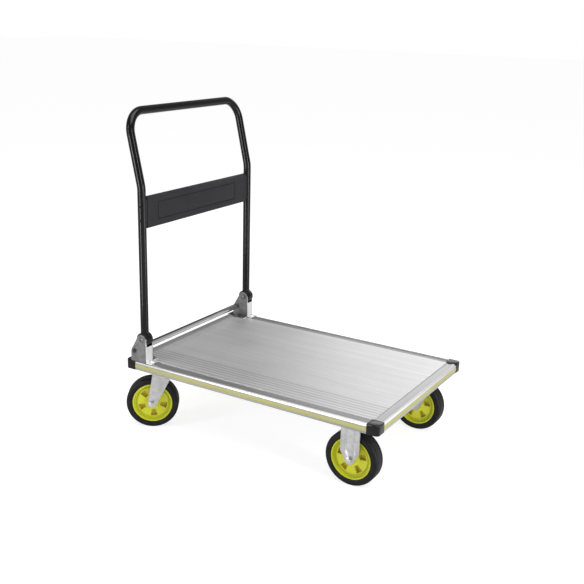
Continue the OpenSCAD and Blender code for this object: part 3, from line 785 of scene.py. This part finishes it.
# %% Bearings
bearing_profile = [(14, 16), (14, 25.6), (13.6, 26), (12.4, 26), (12.0, 25.5), (11.8, 25.2), (8.6, 25.2),
                   (8.4, 25.6), (8.2, 26.4), (6.3, 26.4), (6.05, 26.1), (6.05, 16)]
master_bearings = joined("master_bearings", [
    lathe("bearing_near", bearing_profile, "Y", steps=48),
    lathe("bearing_far", [(r, -a) for r, a in bearing_profile], "Y", steps=48)])

# %% Wheels in place
extra_turn = {"front": 0, "rear": math.radians(30)}
for spot_name, spot in wheel_spots.items():
    rolled = spot @ Matrix.Rotation(extra_turn[spot_name.split("_")[0]], 4, "Y")
    body = f"wheel_{spot_name}"
    fit_out(copied(master_tyre, f"moulded_tyre_{spot_name}", rolled), tyre_rubber, body,
            "tyre_rubber", f"tyre_{spot_name}", smooth=28)
    rim = fit_out(copied(master_rim, f"pocketed_rim_{spot_name}", rolled), rim_plastic, body,
                  "rim_plastic", f"rim_{spot_name}", smooth=38)
    home = rolled.inverted()
    # painted shade: the faces inside the pockets get the darker pocket finish
    pocket_faces = second_finish(rim, pocket_shade_plastic, lambda spot, normal: (
        24.5 * mm < (home @ spot).xz.length < 49 * mm and abs((home @ spot).y) < (lip - 8.6) * mm))
    print("faces inside the pockets:", pocket_faces)
    fit_out(copied(master_bearings, f"sealed_bearings_{spot_name}", spot), bright_steel, body,
            "fastener_steel", f"bearings_{spot_name}")
for master in (master_tyre, master_rim, master_bearings):
    remove(master)

# %% [markdown]
# ## Handle tube
# The handle is one steel tube, bent cold. A bent tube is a circle that travels: it is extruded
# along each straight stretch and spun round the centre of each bend. A Solidify modifier gives
# the wall at the end, so that the tube is hollow like the real one.

# %% Handle sizes
pivot = Vector(joints["handle_fold"]["pos_m"])
tube_low, tube_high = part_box("handle_tube")
tube_radius = 13 * mm
upright_y = tube_high.y - tube_radius
lean, bend_radius, bend_height = math.radians(12.8), 100 * mm, 488 * mm
grip_length, corner_radius = 230 * mm, 68 * mm
bend_reach = bend_radius * math.tan(lean / 2)
print("uprights", round(2 * upright_y, 4), "m apart, grip at", round(tube_high.z, 3), "m")

# %% Bend the tube
def spin_section(centre, axis, angle, steps):
    """Carries the selected ring round a bend."""
    bpy.ops.mesh.spin(steps=steps, angle=angle, center=centre, axis=axis)


clear_selection()
bpy.ops.mesh.primitive_circle_add(vertices=40, radius=tube_radius,
                                  location=(pivot.x, -upright_y, tube_low.z))
bent_tube = bpy.context.object
bent_tube.name = "bent_handle_tube"
settle(bent_tube)
edit(bent_tube, "EDGE")
bpy.ops.mesh.select_all(action="SELECT")
lean_way = Vector((-math.sin(lean), 0, math.cos(lean)))
bend_z = pivot.z + bend_height
grip_mid = Vector((pivot.x, 0, bend_z)) + lean_way * grip_length
corner = grip_mid - lean_way * corner_radius
corner_axis = Vector((0, 1, 0)).cross(lean_way)
upright_length = bend_z - bend_reach - tube_low.z
leaning_length = grip_length - bend_reach - corner_radius
corner_y = upright_y - corner_radius

push((0, 0, upright_length))
spin_section((pivot.x - bend_radius, -upright_y, bend_z - bend_reach), (0, 1, 0), lean, 6)
push(lean_way * leaning_length)
spin_section(corner + Vector((0, -corner_y, 0)), corner_axis, math.pi / 2, 16)
push((0, 2 * corner_y, 0))
spin_section(corner + Vector((0, corner_y, 0)), corner_axis, math.pi / 2, 16)
push(lean_way * -leaning_length)
spin_section((pivot.x - bend_radius, upright_y, bend_z - bend_reach), (0, 1, 0), -lean, 6)
push((0, 0, -upright_length))
modify(outward(bent_tube), "SOLIDIFY", thickness=1.6 * mm, offset=-1)
fit_out(bent_tube, gloss_black, "handle", "handle_paint", "handle_tube", smooth=40)
print("tube faces:", len(bent_tube.data.polygons))

# %% [markdown]
# ## Cross panel
# The panel is a moulding with rounded long edges, a narrower tongue at each end that fits
# round the upright, and a fine groove that frames most of both faces. It starts as a cube.
# The groove comes from insets: one to the frame, the next ones a little down and up again.

# %% Panel body
panel_low, panel_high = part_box("cross_panel")
panel_height, panel_half = panel_high.z - panel_low.z, upright_y - 17 * mm
panel_middle = Vector((pivot.x, 0, panel_high.z - panel_height / 2))
frame_margin, frame_shorter, frame_shift = 13 * mm, 0.82, -12 * mm
groove_side, groove_depth = 1.2 * mm, 2.2 * mm

cross_panel = block(panel_middle, (18 * mm, 2 * panel_half, panel_height))
cross_panel.name = "framed_cross_panel"
edit(cross_panel, "EDGE")
pick_edges(lambda a, b: abs(a.z - b.z) < mm and abs(a.x - b.x) < mm and abs(a.y - b.y) > 100 * mm)
bpy.ops.mesh.bevel(offset=6.5 * mm, segments=5, affect="EDGES")
for way in (-1, 1):
    bpy.ops.mesh.select_mode(type="FACE")
    pick_faces(lambda spot, normal: normal.x * way > 0.99)
    bpy.ops.mesh.inset(thickness=frame_margin)
    bpy.ops.transform.resize(value=(1, frame_shorter, 1), center_override=panel_middle)
    bpy.ops.transform.translate(value=(0, frame_shift, 0))
    bpy.ops.mesh.inset(thickness=1.0 * mm)
    bpy.ops.mesh.inset(thickness=groove_side, depth=-groove_depth)
    bpy.ops.mesh.inset(thickness=2.0 * mm)
    bpy.ops.mesh.inset(thickness=groove_side, depth=groove_depth)
clear_selection()

# %% Tongues
for way in (-1, 1):
    tongue = block((pivot.x, way * (panel_half + upright_y - 8 * mm) / 2, panel_middle.z),
                   (14 * mm, upright_y - panel_half + 8 * mm, panel_height - 16 * mm))
    combine(cross_panel, soften(tongue, 3.5 * mm, 3), "UNION")
    drill(cross_panel, (pivot.x, way * upright_y, panel_middle.z), "Z", tube_radius, 200 * mm, 48)
soften(cross_panel, 0.8 * mm, 2, 50)
fit_out(cross_panel, panel_plastic, "handle", "panel_plastic", "cross_panel", smooth=32)
print("panel faces:", len(cross_panel.data.polygons))

# %% [markdown]
# ## Hexagon heads and nuts
# A real hexagon head has its corners turned off, which makes curved bright arcs on the flats.
# The quickest way to that shape is to keep only what a six sided prism and a turned cone
# have in common, with a Boolean modifier.

# %% Fastener makers
def hexagon(name, corner_radius, height, base=0.0, both=False):
    """A chamfered hexagon that stands on z = base, in millimetres."""
    prism = settle(rod((0, 0, (base + height / 2) * mm), corner_radius * mm, height * mm, 6))
    prism.name = name
    flat = corner_radius * 0.866
    chamfer, top = (corner_radius - flat) * 0.6, base + height
    low = base + (chamfer if both else 0)
    cone = lathe("cone", [(0, base), (flat * 0.97 if both else corner_radius + 1, base),
                          (corner_radius + 0.02, low), (corner_radius + 0.02, top - chamfer),
                          (flat * 0.97, top), (0, top)], steps=48)
    return combine(prism, cone, "INTERSECT")


def washer(name, outer, inner, low, high):
    """A flat ring with slightly rounded edges."""
    soft = min(0.25, (high - low) / 3)
    return lathe(name, [(inner, low), (outer - soft, low), (outer, low + soft), (outer, high - soft),
                        (outer - soft, high), (inner, high)], steps=40)


def thread(name, radius, low, high, pitch=1.25):
    """A threaded end, drawn as a stack of fine rings."""
    profile, level = [(0, low)], low
    while level + pitch <= high - 0.6:
        profile += [(radius - 0.55, level), (radius, level + pitch * 0.45), (radius, level + pitch * 0.55)]
        level += pitch
    profile += [(radius - 0.55, level), (radius - 0.7, high - 0.2), (radius - 1.1, high), (0, high)]
    return lathe(name, profile, steps=32)


def along_axis(spot, direction):
    """A matrix that puts a part drawn up the Z axis at a spot, pointing along a direction."""
    turn = Vector((0, 0, 1)).rotation_difference(Vector(direction))
    return Matrix.Translation(spot) @ turn.to_matrix().to_4x4()


def socketed(head, across, depth, top):
    """Cuts a hexagon socket into the top of a head, in millimetres."""
    return combine(head, settle(rod((0, 0, top * mm), across * mm, depth * mm, 6)))


def fasteners(name, master, places, look, body, node):
    """Copies of one fastener at several places, made one piece. The master is deleted."""
    copies = [copied(master, "copy", place) for place in places]
    fit_out(joined(name, copies), look, body, "fastener_steel", node)
    remove(master)


# %% Bracket bolts and caster bolts
low_head = lathe("low_head", [(0, -0.5), (6.9, -0.5), (7, 0.3), (6.7, 0.9), (5.6, 1.9), (4.6, 2.3),
                              (3.6, 2.4), (0, 2.4)], steps=40)
low_bolt = joined("low_bolt", [socketed(low_head, 2.9, 2.8, 2.4), thread("shank", 3.95, -15.5, -0.2)])
deck_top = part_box("hinge_bracket_left")[0].z
foot_top = deck_top + 3 * mm
fasteners("bracket_bolt_set", low_bolt, [
    Matrix.Translation((spot.x, spot.y, foot_top)) for spot in solid_middles("bracket_bolts")],
    bracket_zinc_painted_bright_front, "chassis", "bracket_bolts")

m8_bolt = joined("m8_bolt", [
    hexagon("head", 7, 4.2, 1.2), washer("collar", 8.5, 3.9, 0, 1.2),
    lathe("dish", [(0, 5.4), (4.4, 5.4), (4.9, 5.0), (4.9, 5.42), (0, 5.42)], steps=24),
    thread("shank", 3.95, -15.5, 1)])
plate_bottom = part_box("fixed_fork_left")[1].z - 5 * mm
fasteners("caster_bolt_set", m8_bolt, [
    along_axis((spot.x, spot.y, plate_bottom), (0, 0, -1)) for spot in solid_middles("caster_bolts")],
    bright_steel, "chassis", "caster_bolts")

# %% Pivot bolts
cheek_out, cheek_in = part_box("hinge_bracket_right")[1].y, upright_y - 17 * mm
pivot_parts = []
for way in (-1, 1):
    button_end = lathe("outer_end", [(0, -1), (8.2, -1), (8.5, 0), (8.4, 0.8), (7.9, 2), (6.9, 3.3),
                                     (5.6, 4), (4.6, 4.2), (0, 4.2)], steps=40)
    outer_end = socketed(button_end, 3.5, 5.6, 4.2)
    inner_end = joined("inner_end", [hexagon("nut", 9, 6.5, 0, both=True), thread("tip", 4.9, -1, 8)])
    shank = lathe("shank", [(0, -17), (4.95, -17), (4.95, 17), (0, 17)], steps=40)
    pivot_parts += [copied(outer_end, "a", along_axis((pivot.x, way * cheek_out, pivot.z), (0, way, 0))),
                    copied(inner_end, "b", along_axis((pivot.x, way * cheek_in, pivot.z), (0, -way, 0))),
                    copied(shank, "c", along_axis((pivot.x, way * upright_y, pivot.z), (0, way, 0)))]
    for master in (outer_end, inner_end, shank):
        remove(master)
fit_out(joined("pivot_bolt_set", pivot_parts), bracket_zinc_painted_bright_front, "chassis", "fastener_steel", "pivot_bolts")

# %% Axle bolts
axle_master = joined("axle_master", [
    washer("inner_ring", 11.5, 6, -31.2, -30), hexagon("head", 10, 5, -36.2, both=True),
    lathe("axle", [(0, -31), (6, -31), (6, 31), (0, 31)], steps=40),
    washer("outer_ring", 12.5, 6, 30, 31.4), hexagon("nut", 10, 6.2, 31.4, both=True),
    thread("tip", 5.6, 30, 39.6)])
front_axles = []
for spot_name, spot in wheel_spots.items():
    end, side = spot_name.split("_")
    out = spot.to_3x3() @ Vector((0, 1 if side == "right" else -1, 0))
    bolt = copied(axle_master, f"axle_{spot_name}", along_axis(spot.translation, out))
    if end == "front":
        front_axles.append(bolt)
    else:
        fit_out(joined(f"axle_bolt_{side}", [bolt]), bright_steel, f"swivel_{side}",
                "fastener_steel", f"axle_bolt_rear_{side}")
fit_out(joined("front_axle_bolt_set", front_axles), bright_steel, "chassis",
        "fastener_steel", "front_axle_bolts")
remove(axle_master)

# %% Screws and rivets
button = lathe("button", [(0, 2.4), (1.6, 2.3), (3.2, 1.7), (4.2, 0.8), (4.5, 0), (4.4, -0.3),
                          (2.3, -0.4), (2.3, -6), (0, -6)], steps=32)
for turn in (0, math.pi / 2):
    combine(button, block((0, 0, 2.2 * mm), (4.4 * mm, 0.9 * mm, 2 * mm), turn))
screw_places = []
for spot in solid_middles("panel_screws"):
    out = math.copysign(1, spot.y)
    screw_places.append(along_axis((spot.x, out * (upright_y + 12.8 * mm), spot.z), (0, out, 0)))
fasteners("panel_screw_set", button, screw_places, gloss_black, "handle", "panel_screws")

rivet = lathe("rivet", there_and_back([(0, 15.3), (2.4, 15), (4, 14), (4.4, 12.7), (2.9, 12.7)]), steps=32)
rivet_height = middle("foot_rivets").z
fasteners("foot_rivet_set", rivet, [
    along_axis((pivot.x, way * upright_y, rivet_height), (0, 1, 0)) for way in (-1, 1)],
    gloss_black, "handle", "foot_rivets")

# %% [markdown]
# ## Cam feet
# Each upright ends in a round plastic foot that turns between the bracket's cheeks. A tail on
# its lower side is what the release pin locks. The outline is a disc with a tail, pushed out
# to the foot's width, with a notch for the pin and a socket for the tube.

# %% Cam foot
pin = Vector((middle("release_pin").x, 0, middle("release_bar").z))
disc, tail, tail_half, foot_half = 22.5, 44.5, 12, 13 * mm
start_turn = -math.degrees(math.acos(tail_half / disc))
tail_turn = math.degrees(math.acos(tail_half / tail))
cam_outline = (arc((0, 0), disc, start_turn, 180 - start_turn, 56)
               + arc((0, 0), tail, 180 + tail_turn, 360 - tail_turn, 8))
cam_points = [pivot + Vector((x * mm, upright_y - foot_half, z * mm)) for x, z in cam_outline]
cam_foot = plate("cam_foot", cam_points, (0, 2 * foot_half, 0))
drill(cam_foot, (pin.x, upright_y, pin.z), "Y", 8.5 * mm, 60 * mm, 40)
drill(cam_foot, (pivot.x, upright_y, tube_low.z + 10 * mm), "Z", tube_radius + 0.1 * mm, 20 * mm, 48)
soften(cam_foot, 1.1 * mm, 3, 40)
fit_out_pair(cam_foot, "turned_cam_foot", black_plastic, "cap_plastic", "cam_foot", "handle", smooth=30)

# %% [markdown]
# ## Hinge brackets
# A bracket is folded from one sheet: two cheeks, a front wall and feet. Each part is a plate,
# the plates are united, and a slanted slot, as long as the release pin's travel, is cut through
# both cheeks. A bevel on every edge gives the rolled look of stamped and plated sheet.

# %% Bracket
def deck_box(*spans):
    """A box from its spans in millimetres: x from the pivot, y from the middle, z from the deck."""
    spot = [(low + high) / 2 * mm + start for (low, high), start in zip(spans, (pivot.x, 0, deck_top))]
    return block(spot, [(high - low) * mm for low, high in spans])


floor_z = (deck_top - pivot.z) / mm
cheek_outline = [(18, floor_z), *arc((0, 0), 18, 0, 150.2, 20), (-42.5, -38), (-44, -46), (-44, floor_z)]
near, far = upright_y / mm - 17, upright_y / mm + 17
bracket, outer_cheek = [
    plate("cheek", [pivot + Vector((x, level, z)) * mm for x, z in cheek_outline], (0, 3 * mm, 0))
    for level in (near, far - 3)]
combine(bracket, outer_cheek, "UNION")
for wall in (deck_box((14.9, 17.9), (near + 0.1, far - 0.1), (0, 54)),
             deck_box((-43.9, 40), (near + 0.1, far - 1), (0, 3)),
             deck_box((-32, 17.9), (near - 24, near + 2), (0, 2.9))):
    combine(bracket, wall, "UNION")
slot_radius, slot_length = 5.3, 11
slot_end = Vector((-35.5, 0, -50.5)) * mm
slot_way = Vector((-35.5 + 16, 0, -50.5 + 15)).normalized()
slot_top = slot_end - slot_way * slot_length * mm
slot_turn = math.degrees(math.atan2(slot_way.x, -slot_way.z))
slot_outline = [end + Vector((x, 0, z)) * mm
                for end, start in ((slot_top, slot_turn), (slot_end, slot_turn + 180))
                for x, z in arc((0, 0), slot_radius, start, start - 180, 12)]
slot_points = [pivot + Vector((0, (near - 5) * mm, 0)) + spot for spot in slot_outline]
combine(bracket, plate("slot_tool", slot_points, (0, 44 * mm, 0)))
soften(bracket, 0.9 * mm, 3, 40)
print("bracket faces:", len(bracket.data.polygons))
fit_out_pair(bracket, "folded_bracket", bracket_zinc_painted_bright_front, "zinc_sheet", "hinge_bracket")

# %% [markdown]
# ## Release bar
# A chromed bar runs from bracket to bracket behind the uprights. Pressing it down slides the
# pin along the slots and unlocks the handle. Both are turned: the bar has rounded shoulders,
# and the pin carries a clip ring outside each cheek.

# %% Bar, pin and clips
bar_half, pin_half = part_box("release_bar")[1].y / mm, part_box("release_pin")[1].y / mm
bar_end = around(0, -bar_half, [(0, 0), (6.4, 0), (8.4, 0.5), (9.3, 1.6), (9.5, 3)])
pin_end = around(0, -pin_half, [(0, 0), (4.2, 0), (5, 0.8), (5, 1.4), (7.4, 1.6), (7.5, 2.2),
                                (7.4, 3.2), (5, 3.4)])
at_pin = Matrix.Translation((pin.x, 0, pin.z))
bar_master = lathe("bar_master", there_and_back(bar_end), "Y", steps=48)
fit_out(copied(bar_master, "turned_release_bar", at_pin), polished_chrome, "release",
        "release_chrome", "release_bar", smooth=50)
pin_master = lathe("pin_master", there_and_back(pin_end), "Y", steps=40)
fit_out(copied(pin_master, "clipped_release_pin", at_pin), dark_steel, "release",
        "release_chrome", "release_pin")
remove(bar_master)
remove(pin_master)

# %% [markdown]
# ## Release springs
# Under each end of the pin stands a coil spring. A Screw modifier winds a small circle up an
# axis. When the bar is pressed the real coil shortens; here the bar's drop is worked out, but
# the coil is not squashed with it.

# %% Springs
def reach_up(piece):
    """The lowest and the highest point of a piece's mesh."""
    heights = [vert.co.z for vert in piece.data.vertices]
    return min(heights), max(heights)


spring_low, spring_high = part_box("release_springs")
spring_height, wire_radius, coil_radius = spring_high.z - spring_low.z, 0.9 * mm, 6.0 * mm
end_gap = 0.3 * mm
coils = []
for way in (-1, 1):
    clear_selection()
    bpy.ops.mesh.primitive_circle_add(vertices=10, radius=wire_radius, location=(coil_radius, 0, 0),
                                      rotation=(math.pi / 2, 0, 0))
    coil = modify(settle(bpy.context.object), "SCREW", screw_offset=4.4 * mm, angle=math.tau, iterations=5,
                  steps=28, render_steps=28, use_merge_vertices=True)
    low, high = reach_up(coil)
    coil.scale.z = (spring_height - 2 * end_gap) / (high - low)
    settle(coil)
    coil.location = (pin.x, way * upright_y, spring_low.z - reach_up(coil)[0] + end_gap)
    coils.append(outward(settle(coil)))
springs = joined("wound_release_springs", coils)
fit_out(springs, bright_steel, "chassis", "spring_steel", "release_springs", smooth=60)
press = joints["release_press"]
drop = abs(press["axis"][2]) * press["range_m"][1]
(spring_height - drop) / spring_height
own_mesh(springs)

# %% [markdown]
# ## Caster forks
# The front forks are two pressed legs under a plate, with shallow flutes that stiffen them.
# The rear forks turn: a crown with a ball race carries two tapered legs. Both are plates that
# are united and given soft edges. One side is modelled and mirrored.

# %% Shared plate
def tangent(point, radius, side):
    """Where a line from a point touches a circle round the origin."""
    away = math.hypot(*point)
    turn = math.atan2(point[1], point[0]) + side * math.acos(radius / away)
    return math.degrees(turn)


def leg_outline(left_points, foot_radius, right_points):
    """Outline of a fork leg whose sides run in to a round foot."""
    start, stop = tangent(left_points[-1], foot_radius, 1), tangent(right_points[0], foot_radius, -1)
    while stop < start:
        stop += 360
    return [*left_points, *arc((0, 0), foot_radius, start, stop, 20), *right_points]


def rounded_rectangle(size_x, size_y, radius):
    """Plan of a plate with round corners."""
    half_x, half_y = size_x / 2 - radius, size_y / 2 - radius
    corners = ((half_x, half_y, 0), (-half_x, half_y, 90), (-half_x, -half_y, 180), (half_x, -half_y, 270))
    return [spot for x, y, turn in corners for spot in arc((x, y), radius, turn, turn + 90, 6)]


axle_height = middle("tyre_front_left").z
plate_rise = (plate_bottom - axle_height) / mm
plate_plan, plate_up = rounded_rectangle(105, 85, 8), (0, 0, 5 * mm)


def legs(axle_spot, outline):
    """The two legs of a fork, drawn round the axle, on both sides of the wheel."""
    return [plate("leg", [Vector((x, level, z)) * mm + axle_spot for x, z in outline], (0, 3 * mm, 0))
            for level in (-30, 27)]


# %% Fixed forks
fixed_spot = Vector((middle("tyre_front_right").x, middle("tyre_front_right").y, axle_height))
fixed_points = [fixed_spot + Vector((x, y, plate_rise)) * mm for x, y in plate_plan]
front_fork = plate("front_fork", fixed_points, plate_up)
front_leg = leg_outline([(-31, plate_rise + 1), (-31, 26)], 15, [(31, 26), (31, plate_rise + 1)])
for leg in legs(fixed_spot, front_leg):
    combine(front_fork, leg, "UNION")
for level in (-1, 1):
    for shift in (-14, 14):
        flute_spot = fixed_spot + Vector((shift, level * 34.6, 27 + 38)) * mm
        flute = settle(rod(flute_spot, 6.2 * mm, 76 * mm, 40))
        combine(front_fork, soften(flute, 4 * mm, 4, 60))
soften(front_fork, 0.8 * mm, 2, 40)
fit_out_pair(front_fork, "fluted_fork", zinc_plate, "zinc_sheet", "fixed_fork")

# %% Swivel plates
swivel_spot = Vector(joints["swivel_right_turn"]["pos_m"])
race = lathe("race", [(6.2, 0), (27.8, 0), (28.5, 0.6), (28.5, 8.2), (29, 8.8), (30.6, 8.8), (31, 8.2),
                      (31, -2.4), (30.8, -3.2), (30, -3.9), (6.2, -3.9)])
swivel_points = [swivel_spot + Vector((x * mm, y * mm, plate_bottom)) for x, y in plate_plan]
swivel_top = plate("swivel_top", swivel_points, plate_up)
under_plate = Matrix.Translation((swivel_spot.x, swivel_spot.y, plate_bottom))
cup = copied(race, "cup", under_plate @ Matrix.Rotation(math.pi, 4, "X"))
remove(race)
soften(swivel_top, 0.8 * mm, 2, 40)
swivel_top = joined("raced_swivel_plate_right", [swivel_top, cup])
fit_out_pair(swivel_top, "raced_swivel_plate", zinc_plate, "zinc_sheet", "swivel_plate")

# %% Swivel forks
fork_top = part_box("swivel_fork_right")[1].z - 0.5 * mm
crown_rise = (fork_top - axle_height) / mm
trail = (Vector(middle("tyre_rear_right").xy) - Vector(swivel_spot.xy)).length / mm
rear_leg = leg_outline([(trail - 35, crown_rise)], 14, [(trail + 30, crown_rise)])
rear_fork, other_leg = legs(Vector((0, 0, axle_height)), [(x - trail, z) for x, z in rear_leg])
combine(rear_fork, other_leg, "UNION")
crown_radius = 36
crown_side = math.degrees(math.asin(30 / crown_radius))
crown_plan = [spot for start in (0, 180)
              for spot in arc((0, 0), crown_radius, start - crown_side, start + crown_side, 16)]
crown_low = Vector((0, 0, fork_top - 4 * mm))
crown_points = [Vector((x, y, 0)) * mm + crown_low for x, y in crown_plan]
combine(rear_fork, plate("crown", crown_points, (0, 0, 4 * mm)), "UNION")
drill(rear_fork, (0, 0, fork_top), "Z", 6.1 * mm, 30 * mm)
soften(rear_fork, 0.8 * mm, 2, 40)
race_ring = lathe("race_ring", [(20, -0.4), (20.2, 0.4), (21.4, 0.4), (23, -0.3), (24.6, 0.4), (25.8, 0.4),
                                (26, -0.4)])
ring = copied(race_ring, "ring", Matrix.Translation((0, 0, fork_top)))
remove(race_ring)
rear_fork = joined("rear_fork", [rear_fork, ring])
for side, sign in (("left", -1), ("right", 1)):
    axle = Vector(joints[f"wheel_rear_{side}_roll"]["axis"])
    turned = Matrix.Rotation(math.atan2(-axle.x, axle.y), 4, "Z")
    place = Matrix.Translation((swivel_spot.x, sign * swivel_spot.y, 0)) @ turned
    fit_out(copied(rear_fork, f"tapered_fork_{side}", place), zinc_plate, f"swivel_{side}",
            "zinc_sheet", f"swivel_fork_{side}")
remove(rear_fork)

# %% [markdown]
# ## Corner caps
# Each corner of the deck has a black moulded cap with a round outer corner and a bevelled top
# edge. The plan is traced and pushed up, the top outer edges are bevelled, and the underside
# is inset and pushed in, which leaves an even wall.

# %% Corner cap
cap_low, cap_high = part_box("corner_cap_front_right")
cap_reach, cap_radius, cap_wall = 38 * mm, 12 * mm, 3 * mm
cap_inner = Vector((cap_high.x - cap_reach, cap_high.y - cap_reach))
cap_plan = [(cap_inner.x, cap_inner.y), (cap_high.x, cap_inner.y)]
cap_plan += arc((cap_high.x - cap_radius, cap_high.y - cap_radius), cap_radius, 0, 90, 10)
cap_plan += [(cap_inner.x, cap_high.y)]
cap = plate("cap", [Vector((x, y, cap_low.z)) for x, y in cap_plan], (0, 0, cap_high.z - cap_low.z))
edit(cap)
pick_faces(lambda spot, normal: normal.z < -0.9)
bpy.ops.mesh.inset(thickness=cap_wall)
push((0, 0, 25 * mm))
bpy.ops.mesh.select_mode(type="EDGE")
pick_edges(lambda a, b: min(a.z, b.z) > cap_high.z - mm and max(a.x, b.x) >= cap_inner.x + mm
           and max(a.y, b.y) >= cap_inner.y + mm)
bpy.ops.mesh.bevel(offset=3.2 * mm, segments=4, affect="EDGES")
soften(cap, 0.4 * mm, 2, 40)
deck_middle = Vector(((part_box("corner_cap_rear_left")[0].x + cap_high.x) / 2, 0, 0))
for end, way_x in (("front", 1), ("rear", -1)):
    for side, way_y in (("right", 1), ("left", -1)):
        flip = (Matrix.Translation(deck_middle) @ Matrix.Diagonal((way_x, way_y, 1, 1))
                @ Matrix.Translation(-deck_middle))
        fit_out(copied(cap, f"bevelled_cap_{end}_{side}", flip), black_plastic, "chassis",
                "cap_plastic", f"corner_cap_{end}_{side}", smooth=40)
remove(cap)
